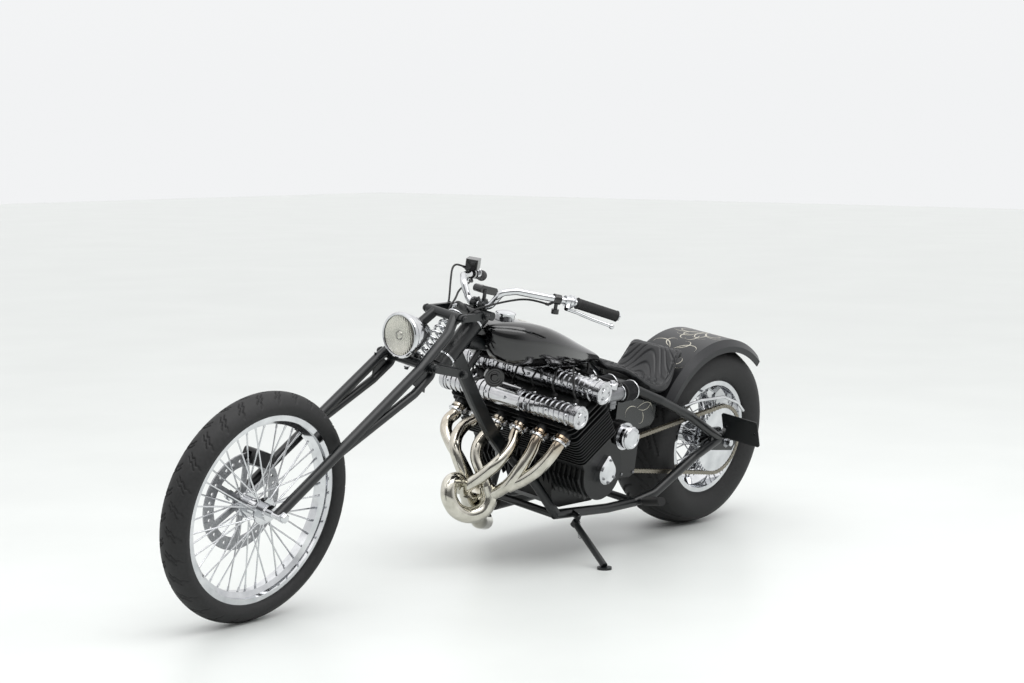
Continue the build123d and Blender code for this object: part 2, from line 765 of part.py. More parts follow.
# Alternator cover: a knurled ring with a domed cap
alternator_step = 8.0
alternator_cap_length = 26.0
with BuildPart() as alternator_cover:
    with BuildSketch(Plane.XY):
        with BuildLine():
            inner_face = gearbox_half_width + seat_gap
            ring_end = alternator_reach - alternator_cap_length
            cap_radius = alternator_radius - alternator_step
            Polyline(
                (0, inner_face), (alternator_radius, inner_face), (alternator_radius, ring_end),
                (cap_radius, ring_end), (cap_radius, alternator_reach - alternator_step),
            )
            Line((cap_radius, alternator_reach - alternator_step), (cap_radius - alternator_step, alternator_reach))
            Polyline((cap_radius - alternator_step, alternator_reach), (0, alternator_reach), (0, inner_face))
        make_face()
    revolve(axis=Axis.Y)
keep(alternator_cover, "alternator_cover", on_frame * Location((alternator_place[0], 0, alternator_place[1])))

# Crank end covers: a pick-shaped one with its point up on the left, a round one on the right
pick_radius = 40.0
pick_tip_radius = 10.0
pick_tip_height = 46.0
pick_half = 13.0
points_cover_radius = 50.0
cover_bevel = 6.0
with BuildPart() as crank_end_covers:
    with BuildSketch(side_sketch(crank_half_width + seat_gap)):
        with Locations((-crank_place[0], crank_place[2])):
            Circle(pick_radius)
            with Locations((0, pick_tip_height)):
                Circle(pick_tip_radius)
        make_hull()
    extrude(amount=2 * pick_half)
    chamfer(faces().sort_by(Axis.Y)[-1].edges(), cover_bevel)
    with BuildSketch(side_sketch(-crank_half_width - seat_gap)):
        with Locations((-crank_place[0], crank_place[2])):
            Circle(points_cover_radius)
    extrude(amount=-2 * pick_half)
    chamfer(faces().sort_by(Axis.Y)[0].edges(), cover_bevel)
keep(crank_end_covers, "crank_end_covers", on_frame)

# Clutch cover on the right of the gearbox
clutch_place = (600.0, 330.0)
clutch_radius = 76.0
clutch_reach = 48.0
with BuildPart() as clutch_cover:
    with BuildSketch(side_sketch(-gearbox_half_width - seat_gap)):
        with Locations((-clutch_place[0], clutch_place[1])):
            Circle(clutch_radius)
    extrude(amount=-clutch_reach)
    chamfer(faces().sort_by(Axis.Y)[0].edges(), cover_bevel * 2)
keep(clutch_cover, "clutch_cover", on_frame)

# Sprocket cover, a shell round the front of the chain
cover_front = 652.0
cover_rear = 496.0
cover_low = 262.0
cover_high = 408.0
cover_corner = 34.0
cover_wall = 12.0
with BuildPart() as sprocket_cover:
    pocket_face = chain_line + sprocket_thickness / 2 + chain_side_gap + chain_plate_thickness + moving_gap
    cover_middle = (-(cover_front + cover_rear) / 2, (cover_low + cover_high) / 2)
    with BuildSketch(side_sketch(gearbox_half_width + seat_gap)):
        with Locations(cover_middle):
            RectangleRounded(cover_front - cover_rear, cover_high - cover_low, cover_corner)
        with Locations((-alternator_place[0], alternator_place[1])):
            Circle(alternator_radius + seat_gap * 3, mode=Mode.SUBTRACT)
    extrude(amount=pocket_face + cover_wall - gearbox_half_width)
    chamfer(faces().sort_by(Axis.Y)[-1].edges(), cover_bevel)
    pocket_radius = front_pitch_radius + chain_plate_height / 2 + moving_gap
    with BuildSketch(side_sketch(pocket_face)):
        with Locations((-drive_front.X, drive_front.Z)):
            Circle(pocket_radius)
        with Locations((-drive_front.X + drive_centre_distance / 2, drive_front.Z)):
            Rectangle(drive_centre_distance, 2 * pocket_radius + cut_overrun)
    extrude(amount=-pocket_face, mode=Mode.SUBTRACT)
keep(sprocket_cover, "sprocket_cover", on_frame)

# Exhaust: six pipes sweep down in front of the engine and knot together under it
collector_radius = 37.0
exhaust_shares = (
    (
    (0.492, 0.779, 0.533),
    (0.498, 0.641, 0.464),
    (0.505, 0.477, 0.412),
    (0.513, 0.324, 0.375),
),
    (
    (0.492, 0.496, 0.538),
    (0.506, 0.439, 0.462),
    (0.515, 0.363, 0.394),
    (0.518, 0.191, 0.34),
    (0.525, 0, 0.301),
),
    (
    (0.501, 0.229, 0.538),
    (0.528, 0.221, 0.472),
    (0.539, 0.038, 0.398),
    (0.548, -0.115, 0.346),
    (0.539, -0.16, 0.303),
),
    (
    (0.503, -0.198, 0.554),
    (0.519, -0.198, 0.512),
    (0.525, -0.16, 0.462),
    (0.524, -0.053, 0.412),
    (0.523, 0.053, 0.359),
    (0.522, 0.107, 0.311),
),
    (
    (0.503, -0.55, 0.567),
    (0.525, -0.511, 0.53),
    (0.537, -0.435, 0.482),
    (0.535, -0.328, 0.42),
    (0.529, -0.244, 0.359),
    (0.529, -0.198, 0.317),
),
    (
    (0.495, -0.893, 0.559),
    (0.509, -0.817, 0.525),
    (0.516, -0.656, 0.482),
    (0.516, -0.496, 0.433),
    (0.514, -0.321, 0.364),
    (0.519, -0.229, 0.317),
),
)
loop_shares = (
    (0.523, 0.053, 0.359),
    (0.52, 0.115, 0.306),
    (0.529, 0.092, 0.253),
    (0.55, 0.008, 0.23),
    (0.572, -0.069, 0.256),
    (0.584, -0.13, 0.317),
    (0.576, -0.183, 0.372),
    (0.554, -0.214, 0.375),
    (0.541, -0.206, 0.33),
)
loop_radius = 26.0
collector_shares = (
    (0.535, -0.115, 0.33),
    (0.519, -0.168, 0.259),
    (0.491, -0.229, 0.169),
    (0.447, -0.42, 0.127),
    (0.412, -0.763, 0.132),
)
muffler_shares = ((0.361, -0.908, 0.148), (0.058, -0.908, 0.185))
muffler_start, muffler_end = places(muffler_shares, wheelbase, engine_half_width, head_height)
flange_radius = 26.5
flange_thickness = 8.0
muffler_line = (muffler_end - muffler_start).normalized()
with BuildPart() as exhaust_headers:
    for port_end, shares in zip(reversed(port_ends), exhaust_shares):
        stub = [port_end + port_line * reach for reach in (seat_gap, pipe_radius * 1.5)]
        run = places(shares, wheelbase, engine_half_width, head_height)
        cable(stub + run, pipe_radius)
        rod(stub[0], stub[0] + port_line * flange_thickness, flange_radius)
    cable(places(loop_shares, wheelbase, engine_half_width, head_height), loop_radius)
    collector = places(collector_shares, wheelbase, engine_half_width, head_height)
    rod(collector[0], collector[1], collector_radius)
    tail = [muffler_start - muffler_line * reach for reach in (pipe_radius * 3, seat_gap)]
    bent_bar(collector[1:] + tail, pipe_radius * 1.4, pipe_radius * 2)
keep(exhaust_headers, "exhaust_headers", on_frame)
with BuildPart() as muffler:
    rod(muffler_start, muffler_end, collector_radius)
keep(muffler, "muffler", on_frame)

# Carburettors and their air filters behind the head
with BuildPart() as carburettors:
    for y in cylinder_places:
        start = intake_port + Vector(0, y, 0) + intake_direction * (intake_stub + seat_gap)
        rod(start, start + intake_direction * carburettor_length, carburettor_radius)
    bank = intake_port + intake_direction * (intake_stub + carburettor_length / 2)
    rod(bank + Vector(0, cylinder_places[0], 0), bank + Vector(0, cylinder_places[-1], 0), carburettor_radius / 2)
keep(carburettors, "carburettors", on_frame)
with BuildPart() as air_filters:
    for y in cylinder_places:
        start = intake_port + Vector(0, y, 0) + intake_direction * (intake_stub + carburettor_length + 2 * seat_gap)
        rod(start, start + intake_direction * filter_length, filter_radius)
keep(air_filters, "air_filters", on_frame)

# Fuel tank, a loft of rounded sections over the backbone
# columns: along from the tank's front, top height, low height, half width
tank_front = 1186.0
tank_shares = (
    (-0, 0.985, 0.907, 0.357),
    (0.085, 0.999, 0.844, 0.75),
    (0.254, 0.993, 0.822, 0.971),
    (0.508, 0.939, 0.807, 0.914),
    (0.763, 0.866, 0.801, 0.643),
    (0.992, 0.797, 0.782, 0.214),
)
tank_corner_share = 0.42
cap_along = 1074.0
cap_radius = 30.0
cap_height = 18.0
cap_seat_height = 811.0
with BuildPart() as fuel_tank:
    for along, top, low, half in tank_shares:
        middle = (top + low) / 2 * tank_top_height
        width = 2 * half * tank_half_width
        height = (top - low) * tank_top_height
        with BuildSketch(Plane(origin=(tank_front - along * tank_length, 0, middle), x_dir=(0, 1, 0), z_dir=(1, 0, 0))):
            RectangleRounded(width, height, min(width, height) * tank_corner_share)
    loft()
    with BuildSketch(Plane.XZ.offset(-tunnel_half)):
        with BuildLine():
            spine = [(x * wheelbase, z * head_height + tunnel_half) for x, _, z in backbone_shares]
            Polyline((spine[0][0] + cut_overrun, spine[0][1]), *spine, (spine[-1][0], 0), (spine[0][0] + cut_overrun, 0), close=True)
        make_face()
    extrude(amount=2 * tunnel_half, mode=Mode.SUBTRACT)
    rod(head_low, head_high + head_axis * head_length, head_radius + moving_gap, mode=Mode.SUBTRACT)
    foot = (Align.CENTER, Align.CENTER, Align.MIN)
    with Locations((cap_along, 0, cap_seat_height)):
        Cylinder(cap_radius + seat_gap, cap_height, align=foot, mode=Mode.SUBTRACT)
keep(fuel_tank, "fuel_tank", on_frame)
with BuildPart() as filler_cap:
    with Locations((cap_along, 0, cap_seat_height)):
        Cylinder(cap_radius, cap_height, align=foot)
keep(filler_cap, "filler_cap", on_frame)

# Seat
# columns: along from the rear axle, top height, low height, half width
seat_shares = (
    (1.017, 1.019, 0.991, 0.243),
    (0.924, 0.994, 0.956, 0.557),
    (0.763, 0.922, 0.884, 0.829),
    (0.576, 0.887, 0.828, 0.914),
    (0.492, 0.972, 0.906, 0.871),
    (0.4, 1.05, 1, 0.743),
)
seat_reach = 590.0
with BuildPart() as seat:
    for along, top, low, half in seat_shares:
        width = 2 * half * seat_half_width
        height = (top - low) * seat_height
        with BuildSketch(Plane(origin=(along * seat_reach, 0, (top + low) / 2 * seat_height), x_dir=(0, 1, 0), z_dir=(1, 0, 0))):
            RectangleRounded(width, height, min(width, height) * tank_corner_share)
    loft()
keep(seat, "seat", on_frame)

# Rear fender, an arch with shallow sides
fender_start_angle = 24.0
fender_end_angle = 128.0
with BuildPart() as rear_fender:
    with BuildSketch(Plane.XY):
        with BuildLine():
            side_end = fender_radius - fender_side_depth
            inner = fender_half_width - fender_thickness
            Polyline(
                (fender_radius, -fender_half_width + fender_side_depth / 2),
                (fender_radius, fender_half_width - fender_side_depth / 2),
                (fender_radius - fender_side_depth / 2, fender_half_width),
                (side_end, fender_half_width),
                (side_end, inner),
                (fender_radius - fender_side_depth / 2 - fender_thickness / 2, inner),
                (fender_radius - fender_thickness, inner - fender_side_depth / 2),
                (fender_radius - fender_thickness, -inner + fender_side_depth / 2),
                (fender_radius - fender_side_depth / 2 - fender_thickness / 2, -inner),
                (side_end, -inner),
                (side_end, -fender_half_width),
                (fender_radius - fender_side_depth / 2, -fender_half_width),
                close=True,
            )
        make_face()
    revolve(axis=Axis.Y, revolution_arc=fender_end_angle - fender_start_angle)
fender_place = rear_wheel_place * Location((0, 0, 0), (0, -fender_end_angle, 0))
keep(rear_fender, "rear_fender", fender_place)

# Oil tank under the seat
oil_tank_shares = (
    (1, 0.859),
    (0.797, 0.812),
    (0.631, 0.781),
    (0.637, 0.688),
    (0.678, 0.647),
    (0.881, 0.653),
    (1, 0.706),
)
with BuildPart() as oil_tank:
    with BuildSketch(Plane(origin=(0, oil_tank_half_width, 0), x_dir=(1, 0, 0), z_dir=(0, -1, 0))):
        with BuildLine():
            Polyline(*[(x * seat_reach, z * seat_height) for x, z in oil_tank_shares], close=True)
        make_face()
    extrude(amount=2 * oil_tank_half_width)
keep(oil_tank, "oil_tank", on_frame)

# Steering stem with its yokes, clamps and link pivots
link_length = 104.0
upper_pivot = (1261.0, 851.0)
upper_front = (1366.0, 851.0)
lower_pivot = (1372.0, 687.0)
lower_front = (1510.0, 718.0)
clamp_place = (1208.0, 870.0)
clamp_half_width = 60.0
clamp_drop = 26.0
clamp_base_radius = 13.5
clamp_radius = 19.0
clamp_inner = 8.0
clamp_width = 16.0
yoke_thickness = 40.0
yoke_arm_place = 32.0
yoke_arm_radius = 11.0
pivot_tube_radius = 14.5
link_end_inset = 12.0
spring_top = Vector(1298.0, 0, 858.0)
spring_foot = Vector(1462.0, 0, 722.0)
spring_coil_radius = 22.0
spring_wire_radius = 4.5
spring_turns = 9
spring_seat_radius = 27.0
spring_seat_thickness = 7.0
spring_line = (spring_foot - spring_top).normalized()
spring_length = (spring_foot - spring_top).length
spring_seat_top = spring_top - spring_line * (spring_wire_radius + seat_gap + spring_seat_thickness)
spring_seat_foot = spring_foot + spring_line * (spring_wire_radius + 3 * seat_gap)
with BuildPart() as steering_stem:
    stem_reach = head_axis * (yoke_thickness / 2)
    rod(head_low - stem_reach, head_high + stem_reach, stem_radius)
    for end, out in ((head_low, -1), (head_high, 1)):
        rod(end + head_axis * (out * seat_gap), end + head_axis * (out * yoke_thickness), head_radius)
    for (x, z), half in ((upper_pivot, upper_link_half_width), (lower_pivot, link_half_width)):
        rod((x, link_end_inset - half, z), (x, half - link_end_inset, z), pivot_tube_radius)
    x, z = upper_pivot
    rod(head_high + head_axis * yoke_arm_place, (x, 0, z), yoke_arm_radius)
    rod((x, 0, z), spring_seat_top, yoke_arm_radius * 0.8)
    rod(spring_seat_top, spring_seat_top + spring_line * spring_seat_thickness, spring_seat_radius)
    # Two clamps on a cross tube carry the handlebar
    x, z = clamp_place
    base = z - clamp_drop
    rod((x, -clamp_half_width, base), (x, clamp_half_width, base), clamp_base_radius)
    for side in (-1, 1):
        rod((x, side * clamp_inner, z), (x, side * (clamp_inner + clamp_width), z), clamp_radius)
    rod((x, -clamp_half_width, z), (x, clamp_half_width, z), bar_radius + seat_gap, mode=Mode.SUBTRACT)
keep(steering_stem, "steering_stem", on_steering)

# Girder fork: a front and a rear tube on each side that meet above the axle
# columns: shares of the wheelbase, the fork half width and the head height
fork_front_shares = (
    (0.657, 0.471, 1.123),
    (0.678, 0.706, 1.063),
    (0.746, 0.965, 0.935),
    (1, 1, 0.446),
)
fork_rear_shares = (
    (0.715, 0.941, 0.955),
    (0.717, 0.965, 0.91),
    (0.75, 1, 0.844),
    (0.899, 1, 0.641),
)
fork_front_bend = 60.0
fork_rear_bend = 26.0
fork_rear_radius = 13.0
with BuildPart() as girder_fork:
    bent_bar(places(fork_front_shares, wheelbase, fork_half_width, head_height), fork_tube_radius, fork_front_bend)
    bent_bar(places(fork_rear_shares, wheelbase, fork_half_width, head_height), fork_rear_radius, fork_rear_bend)
    mirror(about=Plane.XZ)
    for (x, z), half in ((upper_front, upper_link_half_width), (lower_front, link_half_width)):
        rod((x, link_end_inset - half, z), (x, half - link_end_inset, z), pivot_tube_radius)
    rod(spring_seat_foot, spring_seat_foot + spring_line * spring_seat_thickness, spring_seat_radius)
    rod(spring_seat_foot + spring_line * (spring_seat_thickness / 2), (lower_front[0], 0, lower_front[1]), yoke_arm_radius * 0.8)
    with Locations(Location(tuple(front_axle), (90, 0, 0))):
        Cylinder(front_axle_radius + running_gap, 3 * fork_half_width, mode=Mode.SUBTRACT)
keep(girder_fork, "girder_fork", on_steering)

link_bar_width = 11.0
with BuildPart() as fork_links:
    for (start, end, half) in (
        (upper_pivot, upper_front, upper_link_half_width),
        (lower_pivot, lower_front, link_half_width),
    ):
        for side in (-1, 1):
            y = side * (half - link_end_inset + seat_gap)
            y_out = y + side * link_bar_width
            with BuildSketch(Plane(origin=(0, max(y, y_out), 0), x_dir=(1, 0, 0), z_dir=(0, -1, 0))):
                with Locations(((start[0] + end[0]) / 2, (start[1] + end[1]) / 2)):
                    SlotCenterToCenter(math.dist(start, end), link_radius * 2.6, rotation=math.degrees(math.atan2(end[1] - start[1], end[0] - start[0])))
            extrude(amount=link_bar_width)
keep(fork_links, "fork_links", on_steering)

# Fork spring between the yoke and the lower cross tube
with BuildPart() as fork_spring:
    with BuildLine():
        coil = Helix(
            spring_length / spring_turns, spring_length, spring_coil_radius,
            center=tuple(spring_top), direction=tuple(spring_line),
        )
    with BuildSketch(Plane(origin=coil @ 0, z_dir=coil % 0)):
        Circle(spring_wire_radius)
    sweep(path=coil, is_frenet=True)
keep(fork_spring, "fork_spring", on_steering)

# Headlamp
lamp_centre = (1556.0, 799.0)
lamp_radius = 66.0
lamp_depth = 118.0
lens_thickness = 6.0
lamp_stalk_radius = 9.0
with BuildPart() as headlamp_shell:
    with BuildSketch(Plane(origin=(lamp_centre[0], 0, lamp_centre[1]))):
        with BuildLine():
            Spline((-lamp_depth, 0), (-lamp_depth * 0.7, lamp_radius * 0.6), (0, lamp_radius), tangents=((0, 1), (1, 0)))
            Polyline((0, lamp_radius), (0, 0), (-lamp_depth, 0))
        make_face()
    revolve(axis=Axis((lamp_centre[0], 0, lamp_centre[1]), (1, 0, 0)))
    stalk_foot = Vector(lower_front[0], 0, lower_front[1] + pivot_tube_radius + seat_gap)
    rod(stalk_foot, stalk_foot + Vector(0, 0, lamp_radius / 2), lamp_stalk_radius)
keep(headlamp_shell, "headlamp_shell", on_steering)
with BuildPart() as headlamp_lens:
    with Locations(Location((lamp_centre[0] + seat_gap + lens_thickness / 2, 0, lamp_centre[1]), (0, 90, 0))):
        Cylinder(lamp_radius * 0.93, lens_thickness)
keep(headlamp_lens, "headlamp_lens", on_steering)

# Handlebar and grips
# columns: shares of the wheelbase, the bar's half span and the head height, clamp to grip end
bar_shares = (
    (0.581, 0, 1.148),
    (0.581, 0.147, 1.148),
    (0.579, 0.274, 1.219),
    (0.564, 0.379, 1.232),
    (0.528, 0.526, 1.218),
    (0.477, 0.719, 1.198),
    (0.413, 1, 1.15),
)
bar_points = places(bar_shares, wheelbase, bar_half_span, head_height)
bar_bends = (30.0, 24.0, 30.0, 60.0, 60.0)
grip_overhang = 6.0
grip_wall_end = 5.0
with BuildPart() as handlebar:
    bent_bar(bar_points, bar_radius, bar_bends)
    mirror(about=Plane.XZ)
keep(handlebar, "handlebar", on_steering)
grip_start, grip_end = bar_points[-2:]
grip_line = (grip_end - grip_start).normalized()
with BuildPart() as grips:
    for flip in (1, -1):
        ends = [grip_start, grip_end + grip_line * grip_overhang]
        ends = ends if flip == 1 else other_side(ends)
        rod(ends[0] + (ends[1] - ends[0]) * 0.05, ends[1], grip_radius)
        rod(ends[0] - (ends[1] - ends[0]), ends[1] - (ends[1] - ends[0]).normalized() * grip_wall_end, bar_radius + seat_gap, mode=Mode.SUBTRACT)
keep(grips, "grips", on_steering)

# Hand levers: a perch clamped round the bar on each side and a lever with a ball end
# columns: shares of the wheelbase, the bar's half span and the head height
lever_shares = (
    (0.495, 0.723, 1.174),
    (0.482, 0.779, 1.164),
    (0.462, 0.898, 1.142),
    (0.439, 1.053, 1.121),
)
lever_radius = 5.5
lever_bend = 60.0
lever_ball_radius = 9.0
perch_radius = 17.0
perch_length = 26.0
perch_share = 0.8
perch_middle = bar_points[4] + (bar_points[5] - bar_points[4]) * perch_share
perch_line = (bar_points[5] - bar_points[4]).normalized()
with BuildPart() as hand_levers:
    lever = places(lever_shares, wheelbase, bar_half_span, head_height)
    bent_bar(lever, lever_radius, lever_bend)
    with Locations(tuple(lever[-1])):
        Sphere(lever_ball_radius)
    half_perch = perch_line * (perch_length / 2)
    rod(perch_middle - half_perch, perch_middle + half_perch, perch_radius)
    rod(perch_middle, lever[0], perch_radius * 0.6)
    rod(perch_middle - half_perch * 3, perch_middle + half_perch * 3, bar_radius + seat_gap, mode=Mode.SUBTRACT)
    mirror(about=Plane.XZ)
keep(hand_levers, "hand_levers", on_steering)

# Cables and the brake hose, held from the bar to the fork
# columns: points in the upright machine's own frame
clutch_route = [Vector(*p) for p in (
    (1072, 152, 898), (1102, 132, 906), (1138, 110, 907), (1178, 98, 902), (1214, 84, 894),
    (1242, 66, 883), (1266, 52, 874), (1290, 43, 864), (1308, 38, 846), (1318, 35, 822),
)]
throttle_route = [Vector(*p) for p in (
    (1072, -152, 898), (1100, -134, 904), (1136, -113, 904), (1176, -100, 899), (1212, -86, 891),
    (1240, -68, 881), (1264, -54, 873), (1288, -45, 863), (1305, -40, 845),
)]
hose_route = [Vector(*p) for p in (
    (1086, -182, 940), (1116, -178, 949), (1148, -168, 953), (1178, -152, 946), (1202, -132, 928),
    (1222, -114, 904), (1238, -98, 878), (1252, -86, 852), (1266, -80, 826),
)]
cable_radius = 3.2
with BuildPart() as control_cables:
    for route in (clutch_route, throttle_route, hose_route):
        print("cable radii", [round(r, 1) for r in cable(route, cable_radius)])
keep(control_cables, "control_cables", on_steering)

# Bar controls: a knob switch on the left, master cylinder with its square reservoir on the right
knob_radius = 12.0
knob_length = 15.0
control_share = 0.46
control_radius = 16.0
control_length = 22.0
reservoir_width = 50.0
reservoir_depth = 40.0
reservoir_height = 34.0
reservoir_lift = 16.0
with BuildPart() as bar_controls:
    for side in (1, -1):
        flip = Vector(1, side, 1)
        middle = bar_points[4] + (bar_points[5] - bar_points[4]) * control_share
        middle = Vector(middle.X, side * middle.Y, middle.Z)
        line = Vector(perch_line.X, side * perch_line.Y, perch_line.Z)
        rod(middle - line * (control_length / 2), middle + line * (control_length / 2), control_radius)
        if side == 1:
            rod(middle, middle - Vector(0, 0, control_radius + knob_length * 2), knob_radius / 2)
            rod(middle - Vector(0, 0, control_radius + knob_length), middle - Vector(0, 0, control_radius + 2 * knob_length), knob_radius)
        else:
            with BuildSketch(Plane(origin=middle + Vector(0, 0, reservoir_lift), x_dir=line)):
                RectangleRounded(reservoir_width, reservoir_depth, reservoir_depth / 10)
            extrude(amount=reservoir_height)
        for route in (clutch_route, throttle_route, hose_route):
            if route[0].Y * side > 0:
                socket(middle - line * (control_length / 4) - Vector(0, 0, control_radius / 2), route[0], route[1], cable_radius * 1.4)
        rod(middle - line * control_length * 2, middle + line * control_length * 2, bar_radius + seat_gap, mode=Mode.SUBTRACT)
keep(bar_controls, "bar_controls", on_steering)

# Pod above the bar clamp on a short stalk
# columns: shares of the wheelbase and the head height
pod_shares = ((0.586, 1.215), (0.556, 1.198))
pod_radius = 12.0
pod_half_width = 16.0
pod_stalk_radius = 6.0
with BuildPart() as indicator_pod:
    front, back = [Vector(-x * wheelbase, z * head_height) for x, z in pod_shares]
    with BuildSketch(side_sketch(-pod_half_width)):
        for end in (front, back):
            with Locations(end):
                Circle(pod_radius)
        make_hull()
    extrude(amount=2 * pod_half_width)
    x, z = clamp_place
    stalk_foot = Vector(x, clamp_inner + clamp_width / 2, z + clamp_radius + seat_gap)
    rod(stalk_foot, Vector(stalk_foot.X, stalk_foot.Y, front.Y), pod_stalk_radius)
keep(indicator_pod, "indicator_pod", on_steering)

# Side stand, down on the floor
foot_centre = moved(parked.inverse(), Vector(stand_foot[0], stand_foot[1], 0))
floor_up = moved(parked.inverse(), Vector(stand_foot[0], stand_foot[1], 1.0)) - foot_centre
with BuildPart() as side_stand:
    rod(foot_centre + floor_up * stand_radius, stand_pivot, stand_radius)
    eye = [stand_hinge_point + stand_axis * (end * stand_eye_half) for end in (-1, 1)]
    rod(eye[0], eye[1], stand_eye_radius)
    rod(eye[0] - stand_axis * stand_eye_half, eye[1] + stand_axis * stand_eye_half, stand_pin_radius + running_gap, mode=Mode.SUBTRACT)
    rod(foot_centre, foot_centre + floor_up * (stand_radius * 0.7), stand_foot_radius)
keep(side_stand, "side_stand", on_frame)

# Horn below the front of the tank
with BuildPart() as horn:
    middle = Vector(*horn_place)
    rod(middle - horn_line * horn_half, middle + horn_line * horn_half, horn_radius)
    rod(middle + horn_line * (horn_half / 2), middle + horn_line * (horn_half * 1.5), horn_radius / 3)
keep(horn, "horn", on_frame)

# Chain guard: a bright rod from the upper stay over the chain's upper run
with BuildPart() as chain_guard:
    bent_bar(guard, guard_radius, guard_bend)
keep(chain_guard, "chain_guard", on_frame)

# Brake calipers on the right, each a block with a slot for its disc
# columns: name, place, mount, disc face, angle round the axle
caliper_length = 84.0
caliper_depth = 44.0
caliper_half_width = 24.0
caliper_slot = 8.0
caliper_corner = 9.0
caliper_bracket_radius = 7.0
for name, place, disc_face, angle in (
    ("front_caliper", front_wheel_place, front_hub_half, 110.0),
    ("rear_caliper", rear_wheel_place, rear_hub_half, 20.0),
):
    slot_middle = -disc_face - disc_thickness / 2
    radial = disc_radius + caliper_depth / 2 - disc_track * 0.9
    with BuildPart() as caliper:
        turned = Plane(origin=(0, slot_middle + caliper_half_width, 0), x_dir=(math.cos(math.radians(angle)), 0, math.sin(math.radians(angle))), z_dir=(0, -1, 0))
        with BuildSketch(turned):
            with Locations((radial, 0)):
                RectangleRounded(caliper_depth, caliper_length, caliper_corner)
        extrude(amount=2 * caliper_half_width)
        with Locations(Location((0, slot_middle, 0), (90, 0, 0))):
            Cylinder(disc_radius + moving_gap, disc_thickness + 2 * caliper_slot, mode=Mode.SUBTRACT)
        if name == "front_caliper":
            # A bracket to the fork's right leg
            leg = places(fork_front_shares, wheelbase, fork_half_width, head_height)[-2:]
            leg_line = (leg[0] - leg[1]).normalized()
            seat_place = leg_line * disc_radius - Vector(0, fork_half_width, 0)
            middle = Vector(radial * math.cos(math.radians(angle)), slot_middle - caliper_half_width * 0.65, radial * math.sin(math.radians(angle)))
            reach = (seat_place - middle).normalized()
            rod(middle, seat_place - reach * (fork_tube_radius + caliper_bracket_radius * 0.7), caliper_bracket_radius)
    keep(caliper, name, place)

# Foot pegs on the rails
# columns: shares of the wheelbase, the rail half width and the head height, root to tip
with BuildPart() as foot_pegs:
    for side in (-1, 1):
        root, tip = places(peg_shares, wheelbase, rail_half_width * side, head_height)
        rod(root, tip, peg_radius)
keep(foot_pegs, "foot_pegs", on_frame)

# Number plate carrier on the left of the rear axle
plate_width = 150.0
plate_height = 100.0
carrier_thickness = 4.0
carrier_arm_radius = 7.0
plate_place = (82.0, 276.0, 408.0)
plate_tilt = 22.0
plate_bolt_spacing = 120.0
plate_bolt_radius = 3.2
with BuildPart() as plate_carrier:
    lean_back = math.radians(plate_tilt)
    back = (-math.cos(lean_back), 0, math.sin(lean_back))
    with BuildSketch(Plane(origin=plate_place, x_dir=(0, 1, 0), z_dir=back)):
        RectangleRounded(plate_width, plate_height, plate_height / 10)
        with GridLocations(plate_bolt_spacing, plate_height, 2, 1):
            Circle(plate_bolt_radius, mode=Mode.SUBTRACT)
    extrude(amount=carrier_thickness)
    arm_foot = Vector(rear_axle.X + rear_axle_radius * 2, stay_half_width + axle_plate_thickness / 2 + seat_gap, rear_axle.Z + rear_axle_radius * 2)
    elbow = arm_foot + Vector(0, carrier_arm_radius * 2, 0)
    rod(arm_foot, elbow, carrier_arm_radius)
    rod(elbow, Vector(*plate_place) - Vector(0, plate_width / 2 - carrier_arm_radius, carrier_arm_radius * 2), carrier_arm_radius)
keep(plate_carrier, "plate_carrier", on_frame)

# The row's origin is the centre of the parked machine's footprint box
box = Compound(children=[Compound(piece.solids()) for piece in finished.values()]).bounding_box()
origin = Location((-(box.min.X + box.max.X) / 2, -(box.min.Y + box.max.Y) / 2, 0))
for name, piece in finished.items():
    piece = origin * piece
    piece.label = name
    export_step(piece, f"parts/{name}.step")


def report_axis(name, place, point, direction):
    """Prints where an axis lies once the machine is parked"""
    start = moved(origin * place, point)
    end = moved(origin * place, Vector(*point) + Vector(*direction))
    print("axis", name, [round(v, 4) for v in tuple(start)], [round(v, 6) for v in tuple(end - start)])


report_axis("side_stand", on_frame, stand_hinge_point, stand_axis)
report_axis("steering", on_steering, head_middle, head_axis)
report_axis("front_wheel", on_steering, front_axle, (0, 1, 0))
report_axis("rear_wheel", on_frame, rear_axle, (0, 1, 0))
print("low", box.min, "high", box.max, "pitch", pitch_angle)
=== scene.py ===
import bpy
import bmesh
import json
import math
from mathutils import Matrix, Vector
from mathutils.bvhtree import BVHTree


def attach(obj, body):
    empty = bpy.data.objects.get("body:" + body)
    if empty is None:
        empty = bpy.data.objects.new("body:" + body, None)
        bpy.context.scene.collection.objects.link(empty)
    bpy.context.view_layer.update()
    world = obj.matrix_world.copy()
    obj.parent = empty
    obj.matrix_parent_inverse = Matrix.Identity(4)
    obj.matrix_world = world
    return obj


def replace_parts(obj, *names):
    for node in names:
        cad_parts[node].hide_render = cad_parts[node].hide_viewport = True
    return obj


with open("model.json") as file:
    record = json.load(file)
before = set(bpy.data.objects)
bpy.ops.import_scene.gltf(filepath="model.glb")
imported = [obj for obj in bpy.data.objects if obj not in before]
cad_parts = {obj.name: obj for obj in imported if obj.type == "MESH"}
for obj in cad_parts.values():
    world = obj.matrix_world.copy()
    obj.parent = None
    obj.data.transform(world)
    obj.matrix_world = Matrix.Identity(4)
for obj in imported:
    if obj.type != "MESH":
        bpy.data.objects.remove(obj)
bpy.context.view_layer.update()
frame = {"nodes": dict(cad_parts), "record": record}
bpy.ops.object.select_all(action="DESELECT")
nodes = frame["nodes"]

